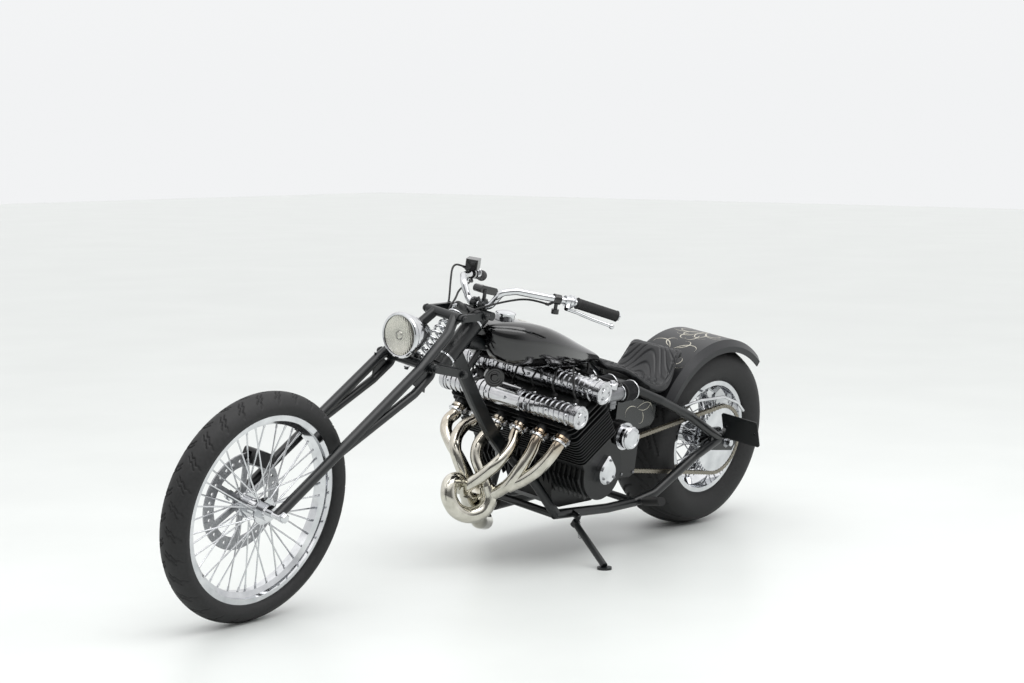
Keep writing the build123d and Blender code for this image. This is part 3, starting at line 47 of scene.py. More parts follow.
# Camera. The motorcycle is seen from its front left, a little above the tank, through a long lens
# on a full-frame sensor. The plain colour view keeps the white room white and the paint black.
bpy.context.scene.view_settings.view_transform = "Standard"
joints = {joint["name"]: joint for joint in frame["record"]["behaviour"]["joints"]}
rear_axle = Vector(joints["rear_wheel_spin"]["pos_m"])
camera_data = bpy.data.cameras.new("camera")
camera = bpy.data.objects.new("camera", camera_data)
bpy.context.scene.collection.objects.link(camera)
camera_data.sensor_width = 36.0
camera_data.lens = 73.85
camera_data.clip_end = 60.0
camera_yaw = math.radians(220.95)
camera_pitch = math.radians(-5.69)
sight = Vector((
    math.cos(camera_yaw) * math.cos(camera_pitch),
    math.sin(camera_yaw) * math.cos(camera_pitch),
    math.sin(camera_pitch),
))
camera.location = Vector((6.037, 4.4066, 1.3923)) + Vector((rear_axle.x, rear_axle.y, 0.0))
camera.rotation_euler = sight.to_track_quat("-Z", "Y").to_euler()
bpy.context.scene.camera = camera

# Places on the machine. A point is given in millimetres on the upright machine, forward of the rear
# axle, to the left and up from the floor, and comes back on the parked one, which leans on its
# stand and has its steering a little to the left.
leaned_left = Vector(joints["rear_wheel_spin"]["axis"])
leaned_up = Vector((1, 0, 0)).cross(leaned_left)
rear_axle_height = 331.0
steering_place = Vector(joints["steering_turn"]["pos_m"])
steering_axis = Vector(joints["steering_turn"]["axis"])
steered = (
    Matrix.Translation(steering_place)
    @ Matrix.Rotation(math.radians(3.0), 4, steering_axis)
    @ Matrix.Translation(-steering_place)
)


def on_frame(x, y, z):
    ahead, left = Vector((x, 0, 0)) / 1000, leaned_left * (y / 1000)
    return rear_axle + ahead + left + leaned_up * ((z - rear_axle_height) / 1000)


def on_fork(x, y, z):
    return steered @ on_frame(x, y, z)


def stood(origin, along, front=Vector((1, 0, 0))):
    """A place at a point, with Z along a line and X as near the given front as it can be"""
    up = along.normalized()
    ahead = (front - up * front.dot(up)).normalized()
    turn = Matrix((ahead, up.cross(ahead), up)).transposed().to_4x4()
    return Matrix.Translation(origin) @ turn


# Surfaces. Every finish is built from nodes: colours are given as sRGB hex and turned to linear,
# and a noise of the material's real grain moves its colour, gloss and height.
def srgb(code):
    parts = [int(code[place:place + 2], 16) / 255 for place in (1, 3, 5)]
    return tuple(c / 12.92 if c <= 0.04045 else ((c + 0.055) / 1.055) ** 2.4 for c in parts) + (1.0,)


def add_node(tree, kind, settings=(), links=()):
    node = tree.nodes.new(kind)
    for key, value in dict(settings).items():
        setattr(node, key, value)
    for socket, value in dict(links).items():
        if isinstance(value, bpy.types.NodeSocket):
            tree.links.new(value, node.inputs[socket])
        else:
            node.inputs[socket].default_value = value
    return node


def surface(name, dark, light, metallic, gloss, grain, depth, spread=0.05, coat=0.0, stretch=(1, 1, 1)):
    """A finish from two colours, a roughness and its spread, and a grain and its depth in mm"""
    material = bpy.data.materials.new(name)
    material.use_nodes = True
    tree = material.node_tree
    shader = tree.nodes["Principled BSDF"]
    shader.inputs["Metallic"].default_value = metallic
    shader.inputs["Coat Weight"].default_value = coat
    shader.inputs["Coat Roughness"].default_value = 0.04
    place = add_node(tree, "ShaderNodeTexCoord")
    drawn = add_node(tree, "ShaderNodeMapping", links={"Vector": place.outputs["Object"], "Scale": stretch})
    noise = add_node(tree, "ShaderNodeTexNoise", links={
        "Vector": drawn.outputs["Vector"], "Scale": 1000 / grain, "Detail": 4.0, "Roughness": 0.6,
    })
    ramp = add_node(tree, "ShaderNodeValToRGB", links={"Fac": noise.outputs["Fac"]})
    ramp.color_ramp.elements[0].position, ramp.color_ramp.elements[1].position = 0.3, 0.7
    ramp.color_ramp.elements[0].color, ramp.color_ramp.elements[1].color = srgb(dark), srgb(light)
    tree.links.new(ramp.outputs["Color"], shader.inputs["Base Color"])
    rough = add_node(tree, "ShaderNodeMapRange", links={
        "Value": noise.outputs["Fac"], "To Min": max(gloss - spread, 0.02), "To Max": gloss + spread,
    })
    tree.links.new(rough.outputs["Result"], shader.inputs["Roughness"])
    bump = add_node(tree, "ShaderNodeBump", links={
        "Height": noise.outputs["Fac"], "Distance": depth / 1000, "Strength": 1.0,
    })
    tree.links.new(bump.outputs["Normal"], shader.inputs["Normal"])
    return material


# Chromed steel: a mirror over a polished base, with faint waves from the polishing wheel
chrome = surface("chromed_steel", "#BFC1C4", "#DCDDDF", 1.0, 0.06, 60.0, 0.02, 0.03)
# Buffed aluminium: brighter and softer than chrome, with the wheel's fine lines along Y
buffed = surface("buffed_aluminium", "#B4B5B8", "#D6D6D8", 1.0, 0.13, 14.0, 0.02, 0.05, stretch=(1, 0.2, 1))
# Ground steel: a dull grain from the grinding wheel, drawn coarser than real so that it shows
ground = surface("ground_steel", "#7E7F82", "#A7A8AA", 1.0, 0.3, 5.0, 0.03, 0.08)
# Black lacquer under clear coat: deep, wet gloss, with the slightest ripple
lacquer = surface("black_lacquer", "#040405", "#0A0A0C", 0.0, 0.14, 90.0, 0.04, 0.05, coat=0.7)
# Frame enamel: blue-black paint with some gloss and a fine orange peel
enamel = surface("frame_enamel", "#07090B", "#0E1214", 0.0, 0.34, 4.0, 0.03, 0.06, coat=0.08)
# Satin fender paint: dark grey with a silky sheen
satin_grey = surface("satin_grey_paint", "#1B1C1E", "#242528", 0.2, 0.38, 3.0, 0.02, 0.05, coat=0.05)
# Oil tank paint: green-black gloss
green_black = surface("green_black_paint", "#060A0B", "#0C1314", 0.0, 0.24, 50.0, 0.03, 0.05, coat=0.15)
# Stove enamel on the cylinders: even satin black over the cast skin
stove_black = surface("stove_enamel_on_castings", "#08090A", "#131415", 0.1, 0.42, 2.4, 0.12, 0.08)
# Crankcase paint: black over sand-cast aluminium, rubbed a little on its high spots
case_black = surface("black_cast_case", "#0A0B0C", "#1B1C1D", 0.3, 0.4, 3.2, 0.2, 0.1)
# Moulded rubber of the hoses, pegs and grips
rubber = surface("moulded_rubber", "#0E0E0F", "#1A1A1B", 0.0, 0.62, 2.0, 0.1, 0.08)
# Tyre rubber, greyer where dust sits on it
tyre_rubber = surface("tyre_rubber", "#0F0F10", "#222223", 0.0, 0.66, 9.0, 0.12, 0.1)
# Die-cast aluminium of the carburettors: grey and granular
die_cast = surface("die_cast_aluminium", "#6F7072", "#96979A", 1.0, 0.34, 2.2, 0.12, 0.1)
# Oiled steel of the chain, brown in its low spots
oiled_steel = surface("oiled_chain_steel", "#4A443A", "#A39E92", 1.0, 0.3, 3.0, 0.08, 0.12)
# Filter gauze: woven dark cotton over pleats
gauze = surface("filter_gauze", "#17181A", "#2C2D30", 0.0, 0.85, 1.6, 0.3, 0.08)
# Gloss black plastic of the pod and switches
plastic = surface("gloss_black_plastic", "#0B0B0C", "#121213", 0.0, 0.2, 40.0, 0.02, 0.05, coat=0.4)

# Exhaust pipes: polished steel with a pale gold film, browner by the ports where the gas is hottest
gold_pipe = surface("gold_filmed_pipe", "#B9B6AB", "#D6D3C9", 1.0, 0.1, 30.0, 0.03, 0.04)
pipe_tree = gold_pipe.node_tree
pipe_shader = pipe_tree.nodes["Principled BSDF"]
film = pipe_shader.inputs["Base Color"].links[0].from_socket
pipe_place = add_node(pipe_tree, "ShaderNodeTexCoord")
pipe_axes = add_node(pipe_tree, "ShaderNodeSeparateXYZ", links={"Vector": pipe_place.outputs["Object"]})
heat = add_node(pipe_tree, "ShaderNodeMapRange", {"interpolation_type": "SMOOTHSTEP"}, {
    "Value": pipe_axes.outputs["Z"], "From Min": 0.34, "From Max": 0.50,
})
side_heat = add_node(pipe_tree, "ShaderNodeMapRange", {"interpolation_type": "SMOOTHSTEP"}, {
    "Value": pipe_axes.outputs["Y"], "From Min": -0.1, "From Max": 0.22, "To Min": 0.25, "To Max": 0.9,
})
both = add_node(pipe_tree, "ShaderNodeMath", {"operation": "MULTIPLY"}, {
    0: heat.outputs["Result"], 1: side_heat.outputs["Result"],
})
tinted = add_node(pipe_tree, "ShaderNodeMix", {"data_type": "RGBA"}, {
    "Factor": both.outputs["Value"], 6: film, 7: srgb("#8A6434"),
})
pipe_tree.links.new(tinted.outputs[2], pipe_shader.inputs["Base Color"])

# Finishes of the CAD nodes. Those that a later section replaces keep theirs unseen.
painted = {
    chrome: (
        "front_rim", "rear_rim", "front_hub_and_spokes", "rear_hub_and_spokes", "rear_sprocket", "handlebar",
        "hand_levers", "filler_cap", "chain_guard", "crank_end_covers", "clutch_cover", "headlamp_shell",
        "fork_spring", "front_axle", "rear_axle",
    ),
    buffed: ("exhaust_cam_cover", "intake_cam_cover", "alternator_cover"),
    ground: ("front_brake_disc", "rear_brake_disc"),
    lacquer: ("fuel_tank",),
    enamel: ("main_frame", "girder_fork", "steering_stem", "fork_links", "side_stand", "plate_carrier"),
    satin_grey: ("rear_fender",),
    green_black: ("oil_tank",),
    stove_black: (
        "cylinder_block", "cylinder_head", "sprocket_cover", "muffler", "front_caliper", "rear_caliper",
    ),
    case_black: ("crankcase",),
    die_cast: ("carburettors",),
    oiled_steel: ("drive_chain",),
    rubber: ("foot_pegs", "grips", "control_cables"),
    tyre_rubber: ("front_tyre", "rear_tyre"),
    gauze: ("air_filters",),
    plastic: ("indicator_pod", "bar_controls", "horn"),
    gold_pipe: ("exhaust_headers",),
}
for material, names in painted.items():
    for name in names:
        mesh = nodes[name].data
        mesh.materials.clear()
        mesh.materials.append(material)

# Floor and room. A pale studio floor with a dull sheen lies in a white room that lights the machine
# from all round, under one broad soft light from above.
floor_width = 60.0
light_place, light_aim = Vector((0.6, 1.6, 4.2)), Vector((0, 0, 0.4))
studio_floor = surface("pale_floor_paint", "#D3D6D4", "#D9DCDA", 0.0, 0.4, 900.0, 0.0, 0.06)
bpy.ops.mesh.primitive_plane_add(size=floor_width, location=(0, 0, 0))
floor = bpy.context.object
floor.name = "floor"
floor.data.materials.append(studio_floor)
world = bpy.data.worlds.new("studio")
bpy.context.scene.world = world
world.use_nodes = True
room = world.node_tree
background = room.nodes["Background"]
look = add_node(room, "ShaderNodeTexCoord")
look_axes = add_node(room, "ShaderNodeSeparateXYZ", links={"Vector": look.outputs["Generated"]})
height_ramp = add_node(room, "ShaderNodeValToRGB", links={"Fac": look_axes.outputs["Z"]})
height_ramp.color_ramp.elements[0].position = 0.02
height_ramp.color_ramp.elements[0].color = srgb("#F4F5F6")
height_ramp.color_ramp.elements[1].position = 0.4
height_ramp.color_ramp.elements[1].color = srgb("#FFFFFF")
# The side of the room that faces the machine's left front is dimmer, as an open showroom is
towards = add_node(room, "ShaderNodeVectorMath", {"operation": "DOT_PRODUCT"}, {
    0: look.outputs["Generated"], 1: (0.74, 0.62, 0.1),
})
dim = add_node(room, "ShaderNodeMapRange", {"interpolation_type": "SMOOTHSTEP"}, {
    "Value": towards.outputs["Value"], "From Min": 0.25, "From Max": 0.8, "To Min": 0.98, "To Max": 0.2,
})
high = add_node(room, "ShaderNodeMapRange", {"interpolation_type": "SMOOTHSTEP"}, {
    "Value": look_axes.outputs["Z"], "From Min": 0.25, "From Max": 0.6, "To Min": 0.0, "To Max": 1.3,
})
strength = add_node(room, "ShaderNodeMath", {"operation": "MAXIMUM"}, {
    0: dim.outputs["Result"], 1: high.outputs["Result"],
})
room.links.new(height_ramp.outputs["Color"], background.inputs["Color"])
room.links.new(strength.outputs["Value"], background.inputs["Strength"])
light_data = bpy.data.lights.new("ceiling_light", "AREA")
light_data.shape = "RECTANGLE"
light_data.size, light_data.size_y = 6.0, 3.0
light_data.energy = 120
ceiling_light = bpy.data.objects.new("ceiling_light", light_data)
ceiling_light.location = light_place
ceiling_light.rotation_euler = (light_aim - ceiling_light.location).to_track_quat("-Z", "Y").to_euler()
bpy.context.scene.collection.objects.link(ceiling_light)


# Tyres. Black rubber on a rounded casing, vulcanised in a mould whose ribs leave the grooves: pairs
# of lightning-shaped sipes in front, and sparse long curves behind. Each is a ring with its section
# and grooves set vertex by vertex, on the wheel's own axle.
def settle(piece, name, material, place=None, body="chassis", smooth=30):
    """Puts a piece's place into its mesh, names it, finishes its shading and ties it to a body"""
    bpy.ops.object.select_all(action="DESELECT")
    piece.select_set(True)
    bpy.context.view_layer.objects.active = piece
    for modifier in list(piece.modifiers):
        bpy.ops.object.modifier_apply(modifier=modifier.name)
    piece.data.transform((place or Matrix.Identity(4)) @ piece.matrix_world)
    piece.matrix_world = Matrix.Identity(4)
    piece.name = piece.data.name = name
    bpy.ops.object.shade_smooth_by_angle(angle=math.radians(smooth))
    piece.data.materials.clear()
    piece.data.materials.append(material)
    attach(piece, body)
    piece.select_set(False)
    return piece


def arc_between(first, middle, last, steps):
    """Points after the first on the circle through three points of a section"""
    (ax, ay), (bx, by), (cx, cy) = first, middle, last
    d = 2 * (ax * (by - cy) + bx * (cy - ay) + cx * (ay - by))
    ux = ((ax**2 + ay**2) * (by - cy) + (bx**2 + by**2) * (cy - ay) + (cx**2 + cy**2) * (ay - by)) / d
    uy = ((ax**2 + ay**2) * (cx - bx) + (bx**2 + by**2) * (ax - cx) + (cx**2 + cy**2) * (bx - ax)) / d
    reach = math.hypot(ax - ux, ay - uy)
    start, end = math.atan2(ay - uy, ax - ux), math.atan2(cy - uy, cx - ux)
    turn = (end - start + math.pi) % (2 * math.pi) - math.pi
    angles = [start + turn * step / steps for step in range(1, steps + 1)]
    return [(ux + reach * math.cos(angle), uy + reach * math.sin(angle)) for angle in angles]


def from_line(x, y, line):
    """How far a point lies from a line of points"""
    nearest = 1e9
    for (ax, ay), (bx, by) in zip(line, line[1:]):
        dx, dy = bx - ax, by - ay
        share = max(0.0, min(1.0, ((x - ax) * dx + (y - ay) * dy) / (dx * dx + dy * dy)))
        nearest = min(nearest, math.hypot(x - ax - share * dx, y - ay - share * dy))
    return nearest


def make_tyre(name, joint, body, size, pitches, steps, across, lines, groove_half, groove_depth):
    radius, half, drop, flange, flange_half, bead = size
    shoulder_share, widest_share, wall_rib, bead_gap, bead_wall, groove_slope = 0.86, 0.42, 1.0, 0.4, 3.6, 1.4
    shoulder = half * shoulder_share
    crown = (drop**2 + shoulder**2) / (2 * drop)
    widest = (flange + (radius - flange) * widest_share, half)
    tread = [-shoulder + 2 * shoulder * step / across for step in range(across + 1)]
    section = [(radius - crown + math.sqrt(crown**2 - y * y), y) for y in tread]
    foot, toe, inner = flange + bead_gap, bead + bead_gap, flange_half - bead_wall
    wall = arc_between((radius - drop, shoulder), widest, (foot, flange_half), 9)
    # a narrow rib runs round each wall below the shoulder
    wall[2] = (wall[2][0], wall[2][1] + wall_rib)
    section += wall + [(foot, inner), (toe, inner), (toe, -inner), (foot, -inner)]
    section += [(r, -y) for r, y in reversed(wall)]
    around = pitches * steps
    count = len(section)
    pitch = 2 * math.pi * radius / pitches
    depth = {}
    for step in range(steps):
        for number, y in enumerate(tread):
            cut = 0.0
            for line in lines:
                for side, shift in ((1, 0.0), (-1, 0.5)):
                    for turn in (-2, -1, 0, 1, 2):
                        along = (step / steps + shift + turn) * pitch
                        gap = from_line(along, side * y, line)
                        cut = max(cut, min(1.0, max(0.0, (groove_half - gap) / groove_slope + 0.5)))
            depth[step, number] = cut * groove_depth
    axis = Vector(joints[joint]["axis"]).normalized()
    wheel = stood(Vector(joints[joint]["pos_m"]), axis)
    corners = []
    for ring_step in range(around):
        angle = 2 * math.pi * ring_step / around
        for number, (r, y) in enumerate(section):
            r -= depth.get((ring_step % steps, number), 0.0)
            corners.append((r * math.cos(angle) / 1000, r * math.sin(angle) / 1000, y / 1000))
    faces = []
    for ring_step in range(around):
        here, there = ring_step * count, (ring_step + 1) % around * count
        for number in range(count):
            after = (number + 1) % count
            faces.append((here + number, there + number, there + after, here + after))
    mesh = bpy.data.meshes.new(name)
    mesh.from_pydata(corners, [], faces)
    tyre = bpy.data.objects.new(name, mesh)
    bpy.context.scene.collection.objects.link(tyre)
    settle(tyre, name + "_treaded", tyre_rubber, place=wheel, body=body, smooth=50)
    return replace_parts(tyre, name)


lightning = (
    ((2, 5), (16, 15), (11, 19), (30, 31), (26, 35), (40, 45)),
    ((14, 3), (29, 14), (24, 18), (43, 30)),
)
make_tyre(
    "front_tyre", "front_wheel_spin", "front_wheel", (340.5, 48.8, 21.96, 279.0, 31.0, 266.0),
    30, 36, 40, lightning, 1.9, 3.6,
)
curves = (
    ((0, 8), (10, 26), (26, 44), (48, 60), (76, 74), (110, 86), (150, 98)),
    ((52, 34), (72, 48), (96, 60), (126, 71)),
)
make_tyre(
    "rear_tyre", "rear_wheel_spin", "rear_wheel", (332.5, 118.0, 31.86, 203.0, 92.7, 190.0),
    18, 56, 52, curves, 3.2, 5.0,
)

# Seat. Black-grey vinyl over moulded foam on a steel pan, sewn in nested wave-shaped channels inside
# a piped border. The CAD solid is remeshed, blown up a little by Cloth, and its seams are pressed in.
vinyl = surface("grained_vinyl", "#141517", "#1E1F22", 0.0, 0.45, 2.2, 0.22, 0.06, coat=0.1)
voxel, shrunk, plump_limit = 0.0045, 0.0025, 0.006
seat = bpy.data.objects.new("seat_cushion", nodes["seat"].data.copy())
bpy.context.scene.collection.objects.link(seat)
bpy.context.view_layer.objects.active = seat
seat.select_set(True)
bpy.ops.object.mode_set(mode="EDIT")
bpy.ops.mesh.select_all(action="SELECT")
bpy.ops.mesh.remove_doubles(threshold=0.0001)
bpy.ops.object.mode_set(mode="OBJECT")
remesh = seat.modifiers.new("remesh", "REMESH")
remesh.mode, remesh.voxel_size = "VOXEL", voxel
bpy.ops.object.modifier_apply(modifier="remesh")
shrink = seat.modifiers.new("shrink", "DISPLACE")
shrink.strength, shrink.mid_level = -shrunk, 0.0
bpy.ops.object.modifier_apply(modifier="shrink")
before = [vertex.co.copy() for vertex in seat.data.vertices]
cloth = seat.modifiers.new("cloth", "CLOTH")
cloth.settings.use_pressure = True
cloth.settings.uniform_pressure_force = 4.0
cloth.settings.effector_weights.gravity = 0.0
cloth.settings.quality = 5
scene = bpy.context.scene
for number in range(1, 21):
    scene.frame_set(number)
bpy.ops.object.modifier_apply(modifier="cloth")
scene.frame_set(1)
for vertex, old in zip(seat.data.vertices, before):
    step = vertex.co - old
    if step.length > plump_limit:
        vertex.co = old + step.normalized() * plump_limit
finer = seat.modifiers.new("finer", "SUBSURF")
finer.levels = finer.render_levels = 1
bpy.ops.object.modifier_apply(modifier="finer")


def on_machine(point):
    """The upright machine's millimetres for a point on the parked one"""
    reach = point - rear_axle
    return reach.x * 1000, reach.dot(leaned_left) * 1000, reach.dot(leaned_up) * 1000 + rear_axle_height


upward, least_half, fade_width = 0.15, 20, 6
seat_edges = ((236, 104), (290, 122), (340, 128), (450, 116), (545, 78), (600, 34))
channel_pitch, channel_depth, channel_half, channel_bend = 25.0, 4.2, 3.2, 40
piping_inset, piping_depth, piping_half = 14, 3.6, 2.6
normals = [vertex.normal.copy() for vertex in seat.data.vertices]
for vertex, normal in zip(seat.data.vertices, normals):
    if normal.dot(leaned_up) < upward:
        continue
    x, y, z = on_machine(vertex.co)
    edge = 34
    for (ax, ay), (bx, by) in zip(seat_edges, seat_edges[1:]):
        if ax <= x <= bx:
            edge = ay + (by - ay) * (x - ax) / (bx - ax)
    inside = edge - piping_inset - abs(y)
    sink = piping_depth * math.exp(-(abs(inside) / piping_half) ** 2)
    if inside > 0:
        # each seam dips back in the middle and curls forward at both sides
        across = min(abs(y) / max(edge - piping_inset, least_half), 1.0)
        bend = channel_bend * math.cos(across * math.pi)
        phase = (x - 244 + bend) / channel_pitch
        apart = abs(phase - round(phase)) * channel_pitch
        fade = min(1.0, inside / fade_width)
        sink = max(sink, channel_depth * math.exp(-(apart / channel_half) ** 2) * fade)
    vertex.co -= normal * (sink / 1000)
settle(seat, "seat_cushion", vinyl, smooth=80)
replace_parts(seat, "seat")

# Control cables. The clutch and throttle cables and the front brake hose: steel inside black
# jackets, each a smooth line from its fitting on the bar down into the fork.
cable_diameter, rounded_share = 0.0064, 0.985
cable_routes = {
    "clutch_cable": (
        (1072, 152, 898), (1102, 132, 906), (1138, 110, 907), (1178, 98, 902), (1214, 84, 894),
        (1242, 66, 883), (1266, 52, 874), (1290, 43, 864), (1308, 38, 846), (1318, 35, 822),
    ),
    "throttle_cable": (
        (1072, -152, 898), (1100, -134, 904), (1136, -113, 904), (1176, -100, 899), (1212, -86, 891),
        (1240, -68, 881), (1264, -54, 873), (1288, -45, 863), (1305, -40, 845),
    ),
    "brake_hose": (
        (1086, -182, 940), (1116, -178, 949), (1148, -168, 953), (1178, -152, 946), (1202, -132, 928),
        (1222, -114, 904), (1238, -98, 878), (1252, -86, 852), (1266, -80, 826),
    ),
}


def smooth_line(name, routes, radius, steps):
    """A round line through each route of points in metres, as one curve object"""
    line = bpy.data.curves.new(name, "CURVE")
    line.dimensions = "3D"
    line.bevel_depth, line.bevel_resolution = radius, 4
    line.use_fill_caps = True
    for route in routes:
        spline = line.splines.new("NURBS")
        spline.points.add(len(route) - 1)
        for point, place in zip(spline.points, route):
            point.co = (*place, 1.0)
        spline.order_u = 3
        spline.use_endpoint_u = True
        spline.resolution_u = steps
    piece = bpy.data.objects.new(name, line)
    bpy.context.scene.collection.objects.link(piece)
    return piece


for name, route in cable_routes.items():
    places = [on_fork(*place) for place in route]
    cable = smooth_line(name, [places], cable_diameter / 2, 12)
    cable.data.materials.append(rubber)
    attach(cable, "steering")
    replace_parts(cable, "control_cables")
    reach = sum((b - a).length for a, b in zip(places, places[1:]))


# Engine castings. The cylinders lean forward by 33 degrees from the crank. A place on them is given
# in millimetres forward across them, to the left, and up along them.
crank_fore, crank_height = 785, 340
cylinder_pitch = 88.0


def heading(place, fore, left, up):
    """The direction of a line in the upright machine's millimetres, on the frame or on the fork"""
    return (place(fore, left, up) - place(0, 0, 0)).normalized()


cylinder_tilt = math.radians(33.0)
cylinder_line = heading(on_frame, math.sin(cylinder_tilt), 0, math.cos(cylinder_tilt))
across_line = heading(on_frame, math.cos(cylinder_tilt), 0, -math.sin(cylinder_tilt))
ahead_line = Vector((1, 0, 0))


def on_cylinders(fore, left, up):
    crank = on_frame(crank_fore, left, crank_height)
    return crank + across_line * (fore / 1000) + cylinder_line * (up / 1000)


cylinder_places = [(number - 2.5) * cylinder_pitch for number in range(6)]

# Domed cap nuts. Chromed brass nuts on washers hold the cam covers down. One is turned and copied
# along the seams of both covers, and stands a little further out on the breather blocks.
cam_fore, cam_height = 63.0, 293.0
cover_radius, block_radius, block_half = 34.0, 36.5, 60
nut_pitch, nut_lean, nut_sink = 84.0, 52, 1.5


def turned(profile, segments=48):
    """A turned piece: a disc extruded ring by ring along Z to the radii and heights of a profile in mm"""
    radius, height = profile[0]
    bpy.ops.mesh.primitive_circle_add(
        vertices=segments, radius=radius / 1000, fill_type="NGON", location=(0, 0, height / 1000),
    )
    bpy.ops.object.transform_apply(location=True)
    bpy.ops.object.mode_set(mode="EDIT")
    for next_radius, next_height in profile[1:]:
        rise = (next_height - height) / 1000
        bpy.ops.mesh.extrude_region_move(TRANSFORM_OT_translate={"value": (0, 0, rise)})
        share = next_radius / radius
        bpy.ops.transform.resize(value=(share, share, 1), center_override=(0, 0, next_height / 1000))
        radius, height = next_radius, next_height
    bpy.ops.mesh.select_all(action="SELECT")
    bpy.ops.mesh.normals_make_consistent(inside=False)
    bpy.ops.object.mode_set(mode="OBJECT")
    return bpy.context.object


def set_out(source, places, name, material, body="chassis", smooth=30):
    """Copies one modelled piece to each place, joined into one"""
    made = bpy.data.meshes.new(name)
    builder = bmesh.new()
    for place in places:
        copy = source.data.copy()
        copy.transform(place @ source.matrix_world)
        builder.from_mesh(copy)
        bpy.data.meshes.remove(copy)
    builder.to_mesh(made)
    builder.free()
    bpy.data.objects.remove(source)
    piece = bpy.data.objects.new(name, made)
    bpy.context.scene.collection.objects.link(piece)
    return settle(piece, name, material, body=body, smooth=smooth)


nut = turned(((6.4, 0.0), (6.4, 1.2), (5.0, 1.2), (5.0, 4.4), (4.2, 6.2), (2.4, 7.4), (0.6, 7.8)), 12)
places = []
for side in (1, -1):
    for number in range(7):
        left = (number - 3) * nut_pitch
        reach = cover_radius if abs(left) > block_half else block_radius
        for face in (1, -1):
            turn = math.radians(nut_lean) * face
            out = across_line * math.sin(turn) + cylinder_line * math.cos(turn)
            foot = on_cylinders(side * cam_fore, left, cam_height) + out * ((reach - nut_sink) / 1000)
            places.append(stood(foot, out))
set_out(nut, places, "cam_cover_nuts", chrome)

# End caps of the cam covers: round buffed plates, each with a raised middle and three small screws
# in the groove round it
cover_end, screw_circle, groove_height = 286.4, 0.0195, 0.0026
cap_plate = turned((
    (35.5, 0.0), (35.5, 2.4), (33.5, 4.0), (25.0, 4.0), (24.0, 2.6), (15.0, 2.6), (13.5, 5.0), (4.0, 5.8),
    (0.5, 5.8),
), 56)
places = []
screws = []
for side in (1, -1):
    for out in (1, -1):
        middle = on_cylinders(side * cam_fore, out * cover_end, cam_height)
        places.append(stood(middle, leaned_left * out, across_line))
        for number in range(3):
            turn = math.radians(90 + 120 * number)
            radial = across_line * math.cos(turn) + cylinder_line * math.sin(turn)
            screw_place = middle + radial * screw_circle + leaned_left * (out * groove_height)
            screws.append(stood(screw_place, leaned_left * out))
set_out(cap_plate, places, "cam_end_caps", buffed)
screw = turned(((3.6, 0.0), (3.6, 1.8), (3.0, 2.6), (1.6, 2.6), (1.5, 1.4), (0.4, 1.4)), 14)
set_out(screw, screws, "cam_cap_screws", ground)

# Breather block in the middle of each cam cover: a lid of buffed aluminium with a rim and a sunk
# panel, its edges eased
lid_size, lid_height = (0.030, 0.098, 0.010), 0.0385
rim_width, panel_edge, panel_depth, eased = 0.0035, 0.0015, 0.003, 0.0016


def block(size):
    """A rectangular block of a size in metres"""
    bpy.ops.mesh.primitive_cube_add(size=1)
    piece = bpy.context.object
    piece.scale = size
    bpy.ops.object.transform_apply(scale=True)
    return piece


def ease(piece, width):
    """Rounds a piece's sharp edges"""
    soft = piece.modifiers.new("soft", "BEVEL")
    soft.width, soft.segments = width, 2
    bpy.ops.object.modifier_apply(modifier="soft")


lid = block(lid_size)
bpy.ops.object.mode_set(mode="EDIT")
bpy.ops.mesh.subdivide(number_cuts=1)
bpy.ops.mesh.select_all(action="DESELECT")
bpy.ops.object.mode_set(mode="OBJECT")
for face in lid.data.polygons:
    face.select = face.normal.z > 0.9
bpy.ops.object.mode_set(mode="EDIT")
bpy.ops.mesh.inset(thickness=rim_width, depth=0.0)
bpy.ops.mesh.inset(thickness=panel_edge, depth=-panel_depth)
bpy.ops.object.mode_set(mode="OBJECT")
ease(lid, eased)
places = []
for side in (1, -1):
    middle = on_cylinders(side * cam_fore, 0, cam_height)
    places.append(stood(middle + cylinder_line * lid_height, cylinder_line, across_line))
set_out(lid, places, "cam_breather_lids", buffed, smooth=35)

# Spark plug boots. Black rubber boots stand in the valley between the cam covers, one a cylinder.
boot_foot = 262.0
boot = turned((
    (7.5, 0.0), (8.5, 1.0), (8.5, 7.0), (7.0, 8.5), (7.0, 22.0), (9.0, 23.5), (9.0, 30.0), (6.0, 34.0),
    (3.6, 35.0),
), 20)
places = [stood(on_cylinders(0, left, boot_foot), cylinder_line) for left in cylinder_places]
set_out(boot, places, "plug_boots", rubber)


# Spark plug leads. A rubber-covered lead leaves each boot and bends over to the coils under the tank.
def hose(name, routes, radius, material):
    """Rubber or metal lines: smooth tubes of a radius in mm, made a mesh and joined"""
    piece = smooth_line(name, routes, radius / 1000, 8)
    bpy.context.view_layer.update()
    mesh = bpy.data.meshes.new_from_object(piece.evaluated_get(bpy.context.evaluated_depsgraph_get()))
    bpy.data.objects.remove(piece)
    piece = bpy.data.objects.new(name, mesh)
    bpy.context.scene.collection.objects.link(piece)
    return settle(piece, name, material, smooth=60)


lead_radius, lead_sway = 3.4, 10
leads = []
for left in cylinder_places:
    sway = lead_sway if left > 0 else -lead_sway
    leads.append([
        on_cylinders(0, left, 292), on_cylinders(-1, left, 306), on_cylinders(-8, left - sway, 320),
        on_cylinders(-30, left * 0.92, 334), on_cylinders(-62, left * 0.8, 338),
        on_cylinders(-104, left * 0.62, 322), on_cylinders(-130, left * 0.5, 300),
    ])
hose("plug_leads", leads, lead_radius, rubber)

